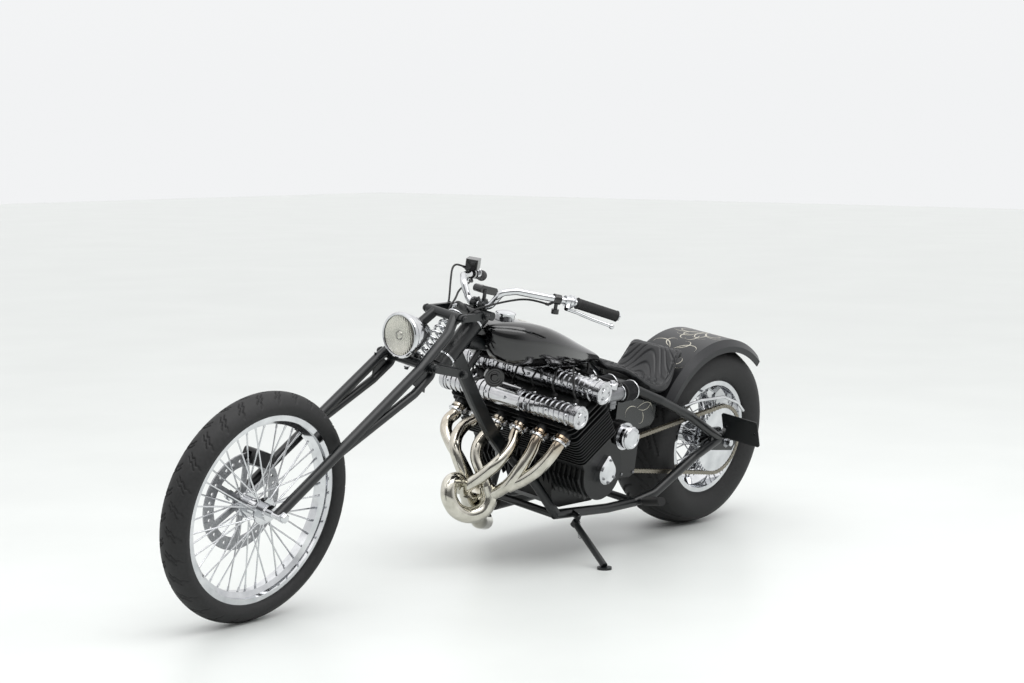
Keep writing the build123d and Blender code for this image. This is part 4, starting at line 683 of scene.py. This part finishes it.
# Exhaust clamps: a chromed collar, and two ground steel studs with nuts, hold each pipe to its port.
# The ports slope down by 8 mm over 28, and the head's front face is found on its own mesh.
port_height, port_run, port_drop, mouth_height = 227, 28, 8, 219.5
collar_step, stud_apart, stud_sink = 0.0115, 0.0315, 0.004
port_root = on_cylinders(0, 0, port_height)
port_line = (on_cylinders(port_run, 0, port_height - port_drop) - port_root).normalized()
collar = turned(((21.2, 0.0), (25.5, 0.0), (27.0, 1.5), (27.0, 7.0), (25.5, 8.5), (21.2, 8.5)), 40)
stud = turned((
    (3.2, 0.0), (3.2, 9.0), (6.2, 9.0), (6.2, 14.5), (4.6, 16.0), (2.6, 16.2), (2.6, 20.0), (0.6, 20.4),
), 6)
crank_place = on_cylinders(0, 0, 0)
head_corners = nodes["cylinder_head"].data.vertices
head_front = max((vertex.co - crank_place).dot(across_line) for vertex in head_corners) * 1000
collars, studs = [], []
for left in cylinder_places:
    mouth = on_cylinders(head_front - 1.0, left, mouth_height)
    collars.append(stood(mouth + port_line * collar_step, port_line))
    for side in (1, -1):
        studs.append(stood(mouth + leaned_left * (side * stud_apart) - port_line * stud_sink, port_line))
set_out(collar, collars, "exhaust_collars", chrome)
set_out(stud, studs, "exhaust_studs", ground)

# Alternator knurl: a stove-enamelled ring round the bright cap, with every second turn of its rim
# drawn in to make the grip
knurl_radius, knurl_half, knurl_wall, knurl_teeth, knurl_share = 48.8, 17, 6.0, 144, 0.962
alternator_fore, alternator_height = 637, 430
alternator_face = on_frame(alternator_fore, 0, alternator_height)
knurl_left, cap_left = 0.176, 0.2255


def fold(piece, teeth, share, beyond=0.0):
    """Draws in every second turn of a round piece's rim, past a radius in mm"""
    for vertex in piece.data.vertices:
        turn = round(math.atan2(vertex.co.y, vertex.co.x) / (2 * math.pi / teeth))
        if turn % 2 and math.hypot(vertex.co.x, vertex.co.y) * 1000 > beyond:
            vertex.co.x *= share
            vertex.co.y *= share


knurl = turned((
    (knurl_radius - knurl_wall, -knurl_half), (knurl_radius - 1.0, -knurl_half),
    (knurl_radius, 1.0 - knurl_half), (knurl_radius, knurl_half - 1.0), (knurl_radius - 1.0, knurl_half),
    (knurl_radius - knurl_wall, knurl_half), (knurl_radius - knurl_wall, -knurl_half),
), 2 * knurl_teeth)
fold(knurl, knurl_teeth, knurl_share, beyond=knurl_radius - 2.0)
knurl_place = stood(alternator_face + leaned_left * knurl_left, leaned_left, ahead_line)
settle(knurl, "alternator_knurl", stove_black, place=knurl_place, smooth=20)

# Alternator cap: a chromed lid with a groove in it, on the outer end of the alternator
cap = turned((
    (38.6, 0.0), (38.6, 2.0), (35.0, 6.5), (27.0, 8.8), (26.0, 7.6), (14.0, 8.6), (5.0, 9.4), (0.5, 9.6),
), 64)
cap_place = stood(alternator_face + leaned_left * cap_left, leaned_left, ahead_line)
settle(cap, "alternator_cap", chrome, place=cap_place)

# Cover screws. Ground steel socket screws hold the two crank covers, the clutch cover and the
# sprocket cover, whose outer face is found on its own mesh.
crank_cover_left, clutch_left = 264.4, -166.4
clutch_fore, clutch_height = 600, 330
left_circle, right_circle, clutch_circle, top_screw_rise = 31, 40, 60, 43


def on_circle(fore, left, height, circle, degrees):
    turn = math.radians(degrees)
    return on_frame(fore + circle * math.cos(turn), left, height + circle * math.sin(turn))


screw = turned(((4.6, 0.0), (4.6, 3.2), (3.8, 4.2), (2.3, 4.2), (2.2, 2.2), (0.4, 2.2)), 16)
places = []
for degrees in range(210, 331, 60):
    screw_place = on_circle(crank_fore, crank_cover_left, crank_height, left_circle, degrees)
    places.append(stood(screw_place, leaned_left))
places.append(stood(on_frame(crank_fore, crank_cover_left, crank_height + top_screw_rise), leaned_left))
for degrees in range(90, 450, 72):
    screw_place = on_circle(crank_fore, -crank_cover_left, crank_height, right_circle, degrees)
    places.append(stood(screw_place, -leaned_left))
for degrees in range(22, 382, 45):
    screw_place = on_circle(clutch_fore, clutch_left, clutch_height, clutch_circle, degrees)
    places.append(stood(screw_place, -leaned_left))
cover_corners = nodes["sprocket_cover"].data.vertices
cover_face = max((vertex.co - rear_axle).dot(leaned_left) for vertex in cover_corners) * 1000
for fore, height in ((512, 282), (512, 388), (574, 282), (634, 282), (552, 394), (640, 352)):
    places.append(stood(on_frame(fore, cover_face + 0.1, height), leaned_left))
set_out(screw, places, "cover_screws", ground)

# Clutch face: a stepped, chromed plate on the clutch cover's outer side
clutch_face_left = -166.2
plate = turned((
    (52.0, 0.0), (52.0, 2.5), (48.0, 4.5), (30.0, 5.5), (28.0, 4.0), (10.0, 4.4), (0.5, 4.6),
), 64)
clutch_place = stood(on_frame(clutch_fore, clutch_face_left, clutch_height), -leaned_left, ahead_line)
settle(plate, "clutch_face", chrome, place=clutch_place)

# Crankcase ribs. Two rows of ribs in the case's own cast metal run down its front, under the
# cylinders.
case_reach, rib_size, rib_pitch, rib_eased = 0.096, (0.016, 0.0042, 0.088), 20.5, 0.0014
rib = block(rib_size)
ease(rib, rib_eased)
places = []
for number in range(23):
    left = (number - 11) * rib_pitch
    for degrees in (8, -32):
        turn = math.radians(degrees)
        out = heading(on_frame, math.cos(turn), 0, math.sin(turn))
        rib_place = on_frame(crank_fore, left, crank_height) + out * case_reach
        places.append(stood(rib_place, out.cross(leaned_left), out))
set_out(rib, places, "crankcase_ribs", case_black)

# Crankcase bolts: ground steel flange bolts in a row above the ribs
bolt_pitch, bolt_turn, bolt_gap = 54.0, 0.66, 0.0005
bolt = turned(((6.6, 0.0), (6.6, 1.4), (5.2, 1.6), (5.2, 6.4), (4.6, 7.2), (0.6, 7.2)), 6)
out = heading(on_frame, math.cos(bolt_turn), 0, math.sin(bolt_turn))
places = []
for number in range(9):
    left = (number - 4) * bolt_pitch
    places.append(stood(on_frame(crank_fore, left, crank_height) + out * (case_reach + bolt_gap), out))
set_out(bolt, places, "crankcase_bolts", ground)

# Carburettors. Each of the six bodies gets a round buffed slide top and a die-cast float bowl, half
# way along its bore.
bore_fore, bore_height, body_step, body_half = -94, 232, 0.068, 0.018
intake = on_cylinders(bore_fore, 0, bore_height)
intake_line = heading(on_frame, -1, 0, 0.05)
intake_up = intake_line.cross(leaned_left).normalized() * -1
roots = [intake + leaned_left * (left / 1000) for left in cylinder_places]
top = turned((
    (17.0, 0.0), (17.0, 12.0), (19.5, 12.5), (19.5, 18.0), (17.5, 20.5), (9.0, 21.5), (8.0, 27.0),
    (5.0, 28.0), (0.5, 28.0),
), 32)
places = [stood(root + intake_line * body_step + intake_up * body_half, intake_up) for root in roots]
set_out(top, places, "carburettor_tops", buffed)
bowl = turned((
    (17.5, 0.0), (17.5, 10.0), (19.5, 10.4), (19.5, 13.0), (16.0, 13.4), (16.0, 26.0), (11.0, 31.0),
    (5.0, 31.5), (5.0, 35.0), (0.5, 35.0),
), 32)
places = [stood(root + intake_line * body_step - intake_up * body_half, -intake_up) for root in roots]
set_out(bowl, places, "float_bowls", die_cast)

# Intake clamps: chromed round-wire rings at both ends of each carburettor
clamp_radius, clamp_wire, clamp_steps = 0.0252, 0.0024, (0.0275, 0.1075)
bpy.ops.mesh.primitive_torus_add(
    major_radius=clamp_radius, minor_radius=clamp_wire, major_segments=48, minor_segments=12,
)
clamp = bpy.context.object
places = [stood(root + intake_line * step, intake_line) for root in roots for step in clamp_steps]
set_out(clamp, places, "intake_clamps", chrome, smooth=60)

# Fuel hoses: a rubber rail that sways over the six bodies, and a feed down from the tank's tap
fuel_hose_radius, rail_rise = 4.0, 0.036
rail_sways = (
    (-228, 0.024), (-140, 0.026), (-50, 0.024), (50, 0.024), (140, 0.026), (232, 0.024), (250, 0.012),
    (252, -0.01),
)
rail_start = intake + intake_line * body_step + intake_up * rail_rise
rail = [rail_start + leaned_left * (left / 1000) + intake_line * sway for left, sway in rail_sways]
feed_route = ((700, 40, 690), (690, 46, 660), (694, 60, 632), (712, 66, 610), (735, 60, 598))
feed = [on_frame(*point) for point in feed_route]
hose("fuel_hoses", [rail, feed], fuel_hose_radius, rubber)

# Air filters: pleated gauze drums, with every second pleat of each folded in
pleat_radius, pleat_length, pleats, fold_share, filter_step = 0.0325, 0.05, 96, 0.9, 0.1416
bpy.ops.mesh.primitive_cylinder_add(
    vertices=pleats, radius=pleat_radius, depth=pleat_length, end_fill_type="NGON",
)
drum = bpy.context.object
fold(drum, pleats, fold_share)
middles = [root + intake_line * filter_step for root in roots]
places = [stood(middle, intake_line) for middle in middles]
filters = set_out(drum, places, "pleated_filters", gauze, smooth=10)
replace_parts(filters, "air_filters")

# Filter ends: a chromed plate closes each drum behind, and a moulded rubber collar holds it in front
end_step, collar_back = 0.0235, 0.0285
plate = turned(((33.4, 0.0), (34.0, 1.0), (34.0, 4.0), (31.0, 6.0), (22.0, 6.0), (20.0, 4.6), (0.5, 4.6)), 48)
places = [stood(middle + intake_line * end_step, intake_line) for middle in middles]
set_out(plate, places, "filter_end_plates", chrome)
collar = turned(((24.6, 0.0), (33.4, 0.0), (33.4, 3.5), (30.0, 4.0), (24.6, 4.0)), 48)
places = [stood(middle - intake_line * collar_back, intake_line) for middle in middles]
set_out(collar, places, "filter_collars", rubber)

# Headlamp bezel. The chromed bowl ends in a rolled rim round the glass, and hangs by one cap nut.
lamp_fore, lamp_height = 1556, 799
lamp_nut_fore, lamp_nut_height = 1510, 699
lamp_line = heading(on_fork, 1, 0, 0)
lamp_up = heading(on_fork, 0, 0, 1)
lamp_place = stood(on_fork(lamp_fore, 0, lamp_height), lamp_line, lamp_up)
bezel = turned((
    (60.5, -6.0), (67.2, -7.0), (69.4, -3.0), (69.8, 2.0), (68.0, 7.5), (64.5, 9.5), (61.0, 8.5), (60.2, 5.0),
    (60.2, 0.0),
), 72)
settle(bezel, "headlamp_bezel", chrome, place=lamp_place, body="steering", smooth=40)
shell_nut = turned(((9.0, 0.0), (9.0, 3.0), (7.0, 4.0), (7.0, 9.0), (5.0, 11.0), (0.5, 11.4)), 6)
nut_place = stood(on_fork(lamp_nut_fore, 0, lamp_nut_height), -lamp_up)
settle(shell_nut, "headlamp_mount_nut", chrome, place=nut_place, body="steering")

# Headlamp reflector and glass. A shallow chromed dish with a bulb shield in its middle lies behind a
# domed lens of faintly warm soda-lime glass, pressed with fine flutes.
glass_tilt, glass_yaw, flute_scale, flute_depth = -0.148, 0.05, 38.0, 0.0004
reflector = turned((
    (60.0, 3.0), (57.0, 1.4), (40.0, 1.0), (22.0, 0.8), (15.0, 1.0), (14.0, 4.0), (9.0, 5.4), (0.5, 5.8),
), 64)
settle(reflector, "headlamp_reflector", chrome, place=lamp_place, body="steering", smooth=60)
lamp_glass = bpy.data.materials.new("pressed_lamp_glass")
lamp_glass.use_nodes = True
glass_tree = lamp_glass.node_tree
glass_shader = glass_tree.nodes["Principled BSDF"]
glass_shader.inputs["Base Color"].default_value = srgb("#F4F1E2")
glass_shader.inputs["Transmission Weight"].default_value = 0.92
glass_shader.inputs["Roughness"].default_value = 0.06
glass_shader.inputs["IOR"].default_value = 1.5
glass_shader.inputs["Coat Weight"].default_value = 0.6
glass_place = add_node(glass_tree, "ShaderNodeTexCoord")
glass_turn = add_node(glass_tree, "ShaderNodeMapping", links={
    "Vector": glass_place.outputs["Object"], "Rotation": (glass_tilt, 0, glass_yaw),
})
flutes = add_node(glass_tree, "ShaderNodeTexWave", {"bands_direction": "Y"}, {
    "Vector": glass_turn.outputs["Vector"], "Scale": flute_scale, "Distortion": 0.6,
})
glass_bump = add_node(glass_tree, "ShaderNodeBump", links={
    "Height": flutes.outputs["Fac"], "Distance": flute_depth, "Strength": 0.5,
})
glass_tree.links.new(glass_bump.outputs["Normal"], glass_shader.inputs["Normal"])
lens = turned((
    (60.4, 2.0), (60.4, 5.0), (54.0, 7.4), (44.0, 9.8), (32.0, 11.6), (18.0, 12.8), (6.0, 13.3), (0.5, 13.4),
), 72)
settle(lens, "headlamp_glass", lamp_glass, place=lamp_place, body="steering", smooth=60)
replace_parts(lens, "headlamp_lens")

# Grips. Each black rubber grip is moulded in rings between two flanges and has a closed end. The
# ring's land and its groove are each a few millimetres wide.
bar_bend, bar_end = (991.7, 204.9, 908.1), (858.6, 285.0, 871.7)
ring_pitch, land_width, land_radius, groove_radius, last_ring = 5.4, 3.0, 17.2, 16.2, 138
grip_start, flange_steps = 0.006, (-0.010, -0.022)
profile = [(18.6, 0.0), (18.6, 3.0), (16.6, 4.5)]
height = 6.0
while height < last_ring:
    profile += [
        (land_radius, height), (land_radius, height + land_width), (groove_radius, height + 3.6),
        (groove_radius, height + 4.8),
    ]
    height += ring_pitch
profile += [(18.0, height + 1.0), (18.0, height + 4.0), (14.0, height + 6.5), (0.5, height + 6.8)]
grip = turned(profile, 36)
places, flanges = [], []
for side in (1, -1):
    inner = on_fork(bar_bend[0], side * bar_bend[1], bar_bend[2])
    outer = on_fork(bar_end[0], side * bar_end[1], bar_end[2])
    line = (outer - inner).normalized()
    places.append(stood(inner + line * grip_start, line))
    for step in flange_steps:
        flanges.append(stood(inner + line * step, line))
grip = set_out(grip, places, "ringed_grips", rubber, body="steering")
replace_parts(grip, "grips")

# Grip flanges: two chromed rings inboard of each grip
flange = turned(((11.6, 0.0), (19.5, 0.6), (20.5, 2.0), (19.5, 3.4), (11.6, 4.0)), 36)
set_out(flange, flanges, "grip_flanges", chrome, body="steering", smooth=60)

# Handlebar clamp screws: two ground steel socket screws hold down each clamp's cap
clamp_fore, clamp_height, clamp_left, screw_apart = 1208, 883, 16, 13.5
socket_screw = turned(((4.4, 0.0), (4.4, 5.0), (3.6, 5.8), (2.4, 5.8), (2.3, 3.0), (0.4, 3.0)), 16)
places = []
for left in (-clamp_left, clamp_left):
    for fore in (-screw_apart, screw_apart):
        places.append(stood(on_fork(clamp_fore + fore, left, clamp_height), lamp_up))
set_out(socket_screw, places, "bar_clamp_screws", ground, body="steering")

# Head tube rings: the two bearing cups stand proud of the tube as bright turned rings
head_up = steering_axis.normalized()
cup_steps = (-80.0, 72.0)
cup = turned(((29.5, 0.0), (31.2, 1.0), (31.2, 6.5), (29.5, 8.0)), 48)
places = [stood(steering_place + head_up * (step / 1000), head_up) for step in cup_steps]
set_out(cup, places, "head_bearing_cups", chrome, smooth=40)

# Fork pivots: every cross tube of the girder ends in a painted, capped nut on a washer
link_pivots = ((1261, 851, 73.6), (1366, 851, 73.6), (1372, 687, 109.6), (1510, 718, 109.6))
sideways = {side: heading(on_fork, 0, side, 0) for side in (1, -1)}
cap = turned((
    (12.5, 0.0), (13.5, 0.8), (13.5, 2.6), (10.0, 3.2), (10.0, 9.5), (7.5, 11.8), (0.5, 12.4),
), 24)
places = []
for fore, height, half in link_pivots:
    for side in (1, -1):
        places.append(stood(on_fork(fore, side * half, height), sideways[side], lamp_line))
set_out(cap, places, "fork_pivot_caps", enamel, body="steering")

# Front axle nuts: chromed, six-sided and domed, one on each end of the axle
wheelbase, front_axle_height, front_nut_left = 2079, 340.5, 108.4
axle_nut = turned(((17.0, 0.0), (17.0, 2.0), (14.0, 2.6), (14.0, 11.0), (12.0, 13.5), (0.5, 14.0)), 6)
places = [
    stood(on_fork(wheelbase, side * front_nut_left, front_axle_height), sideways[side]) for side in (1, -1)
]
set_out(axle_nut, places, "front_axle_nuts", chrome, body="steering")

# Rear axle washers: six-sided tab washers of ground steel on the axle plates, round the bare stubs
washer_left = 171.2
washer = turned(((12.8, 0.0), (21.0, 0.0), (21.0, 1.0), (12.8, 1.0)), 6)
places = [
    stood(on_frame(0, side * washer_left, rear_axle_height), leaned_left * side) for side in (1, -1)
]
set_out(washer, places, "rear_axle_washers", ground)

# Gussets: three-cornered steel plates, painted as the fork, between its tubes by the lower link
gusset_radius, gusset_thickness, gusset_eased = 0.052, 0.005, 0.0015
gusset_fore, gusset_left, gusset_height, gusset_slope = 1540, 83.5, 682, -0.62
bpy.ops.mesh.primitive_cylinder_add(
    vertices=3, radius=gusset_radius, depth=gusset_thickness, end_fill_type="NGON",
)
gusset = bpy.context.object
ease(gusset, gusset_eased)
toward = heading(on_fork, 1, 0, gusset_slope)
places = [
    stood(on_fork(gusset_fore, side * gusset_left, gusset_height), sideways[side], toward)
    for side in (1, -1)
]
set_out(gusset, places, "fork_gussets", enamel, body="steering")


# Fender pinstripes. Hand-pulled scrolls in pale grey enamel, a traditional pattern of mirrored curls
# laid out for this machine. Each stroke turns ever tighter, swells in its middle and is pressed onto
# the paint from outside as a thin raised ribbon.
def stroke(start, heading_degrees, length, bend_first, bend_last):
    """Points of one curl in mm, whose turn per mm goes from one value to another, in degrees"""
    x, y = start
    angle = math.radians(heading_degrees)
    points = [(x, y)]
    steps = max(10, int(length / 3))
    for step in range(steps):
        bend = bend_first + (bend_last - bend_first) * step / steps
        angle += math.radians(bend) * length / steps
        x, y = x + math.cos(angle) * length / steps, y + math.sin(angle) * length / steps
        points.append((x, y))
    return points


def pinstripes(name, node, origin, ahead, side, strokes, width):
    """Strokes laid on a node, seen from outside with one axis ahead and the other to the side"""
    eye_reach, steepest, raised, edge_share = 0.3, 0.1, 0.0006, 0.2
    thin_share, belly_place, belly_power = 0.25, 1.15, 0.7
    mesh = nodes[node].data
    tree = BVHTree.FromPolygons([v.co for v in mesh.vertices], [list(p.vertices) for p in mesh.polygons])
    out = ahead.cross(side).normalized()
    corners, faces = [], []
    for points in strokes:
        last = None
        for number, (x, y) in enumerate(points):
            before, after = points[max(number - 1, 0)], points[min(number + 1, len(points) - 1)]
            along = ahead * (after[0] - before[0]) + side * (after[1] - before[1])
            seen = origin + ahead * (x / 1000) + side * (y / 1000) + out * eye_reach
            hit, normal, _, _ = tree.ray_cast(seen, -out)
            if hit is None or normal.dot(out) < steepest:
                last = None
                continue
            share = number / (len(points) - 1)
            belly = math.sin(math.pi * min(share * belly_place, 1.0)) ** belly_power
            half = width / 2000 * (thin_share + belly)
            across = along.cross(normal).normalized() * half
            base = len(corners)
            lift = normal * raised
            low = lift * edge_share
            corners += [hit + across + low, hit + lift, hit - across + low]
            if last is not None:
                faces += [(last, last + 1, base + 1, base), (last + 1, last + 2, base + 2, base + 1)]
            last = base
    ribbon = bpy.data.meshes.new(name)
    ribbon.from_pydata(corners, [], faces)
    piece = bpy.data.objects.new(name, ribbon)
    bpy.context.scene.collection.objects.link(piece)
    bpy.context.view_layer.objects.active = piece
    return settle(piece, name, striping, smooth=80)


def mirrored(strokes):
    return strokes + [[(x, -y) for x, y in points] for points in strokes]


striping = surface("pale_striping_enamel", "#A9A598", "#C4C0B2", 0.0, 0.35, 3.0, 0.02, 0.05)
fender_stripe_width, fender_reach = 3.0, 0.34
fender_curls = [
    stroke((0, 4), 12, 150, 0.15, 1.5), stroke((20, 6), -8, 140, -0.2, 2.4),
    stroke((36, 16), 40, 110, 0.1, -3.4), stroke((60, 30), 62, 90, 0.4, 4.6),
    stroke((-4, 8), 150, 120, -0.1, -2.6), stroke((-12, 18), 116, 90, 0.3, 4.2),
    stroke((84, 22), 20, 80, 0.3, -4.4),
]
for name, degrees in (("fender_stripes_top", 98.0), ("fender_stripes_back", 62.0)):
    turn = math.radians(degrees)
    out = heading(on_frame, math.cos(turn), 0, math.sin(turn))
    ahead = leaned_left.cross(out).normalized()
    origin = rear_axle + out * fender_reach
    pinstripes(name, "rear_fender", origin, ahead, leaned_left, mirrored(fender_curls), fender_stripe_width)

# Tank pinstripes: the same enamel in finer curls along the tank's top
tank_stripe_width, tank_slope = 2.0, -0.27
tank_curls = [
    stroke((0, 5), 20, 130, 0.1, 1.8), stroke((14, 8), -4, 160, -0.1, 1.6),
    stroke((44, 20), 46, 90, 0.2, -4.0), stroke((-6, 7), 160, 60, -0.3, -3.6),
    stroke((70, 22), 10, 80, 0.2, 4.0),
]
tank_back = heading(on_frame, -1, 0, tank_slope)
tank_start = on_frame(1010, 0, 790)
pinstripes(
    "tank_stripes", "fuel_tank", tank_start, tank_back, -leaned_left, mirrored(tank_curls), tank_stripe_width,
)

# Oil tank pinstripes: one group of curls on each side
side_stripe_width, oil_tank_left = 2.4, 110
side_curls = [
    stroke((0, 0), 30, 110, -0.1, -2.2), stroke((8, -4), -20, 100, 0.2, 3.0),
    stroke((-6, 4), 160, 80, 0.2, 3.4), stroke((26, 12), 60, 60, 0.5, 5.0),
    stroke((30, -14), -50, 60, -0.4, -5.0),
]
for name, side in (("oil_tank_stripes_left", 1), ("oil_tank_stripes_right", -1)):
    origin = on_frame(480, side * oil_tank_left, 490)
    pinstripes(name, "oil_tank", origin, ahead_line * -side, leaned_up, side_curls, side_stripe_width)

# Filler cap: a chromed lens-shaped dome over a straight edge, on the tank's top
dome = turned((
    (31.5, 0.0), (33.0, 1.0), (33.0, 5.0), (31.0, 6.5), (24.0, 9.5), (14.0, 11.8), (5.0, 12.6), (0.5, 12.7),
), 56)
cap_middle = (1074, 0, 828.6)
dome_place = stood(on_frame(*cap_middle), leaned_up, ahead_line)
settle(dome, "filler_cap_dome", chrome, place=dome_place)

# Side stand spring: a coil of ground steel wire from the frame's lug to the leg
coil_top, coil_foot = on_frame(778, 150, 176), on_frame(806, 198, 104)
coil_radius, coil_wire, turns, per_turn = 0.0062, 1.2, 14, 10
coil_line = coil_foot - coil_top
spring_place = stood(coil_top, coil_line.normalized())
coil_route = []
for step in range(turns * per_turn + 1):
    angle = 2 * math.pi * step / per_turn
    rise = coil_line.length * step / (turns * per_turn)
    coil_point = Vector((coil_radius * math.cos(angle), coil_radius * math.sin(angle), rise))
    coil_route.append(spring_place @ coil_point)
hose("stand_spring", [coil_route], coil_wire, ground)

# Number plate: a blank aluminium plate, painted white, with a pressed edge
plate_size, plate_edge, plate_press, plate_sink = (0.144, 0.094, 0.0014), 0.004, 0.0012, 0.0006
plate_middle, plate_tilt, plate_gap = (82, 276, 408), math.radians(22.0), 0.0052
plate = block(plate_size)
for face in plate.data.polygons:
    face.select = face.normal.z > 0.9
bpy.ops.object.mode_set(mode="EDIT")
bpy.ops.mesh.inset(thickness=plate_edge, depth=0.0)
bpy.ops.mesh.inset(thickness=plate_press, depth=-plate_sink)
bpy.ops.object.mode_set(mode="OBJECT")
plate_out = heading(on_frame, -math.cos(plate_tilt), 0, math.sin(plate_tilt))
plate_paint = surface("white_plate_paint", "#D4D6D5", "#DFE0DF", 0.0, 0.35, 20.0, 0.02, 0.05)
plate_place = stood(on_frame(*plate_middle) + plate_out * plate_gap, plate_out, leaned_left)
settle(plate, "blank_number_plate", plate_paint, place=plate_place)

# Horn face: gloss black pressed rings round the horn's centre
horn_middle, horn_turn, horn_gap = (1158, 52, 645), math.radians(53.0), 0.0112
horn_out = heading(on_frame, math.cos(horn_turn), math.sin(horn_turn), 0)
horn_rings = turned((
    (30.2, -3.0), (31.4, -1.0), (31.0, 1.4), (28.0, 2.2), (26.0, 1.0), (22.0, 1.0), (20.5, 2.0), (18.5, 1.0),
    (14.5, 1.0), (13.0, 2.2), (11.0, 1.4),
), 56)
horn_place = stood(on_frame(*horn_middle) + horn_out * horn_gap, horn_out)
settle(horn_rings, "horn_rings", plastic, place=horn_place, smooth=40)
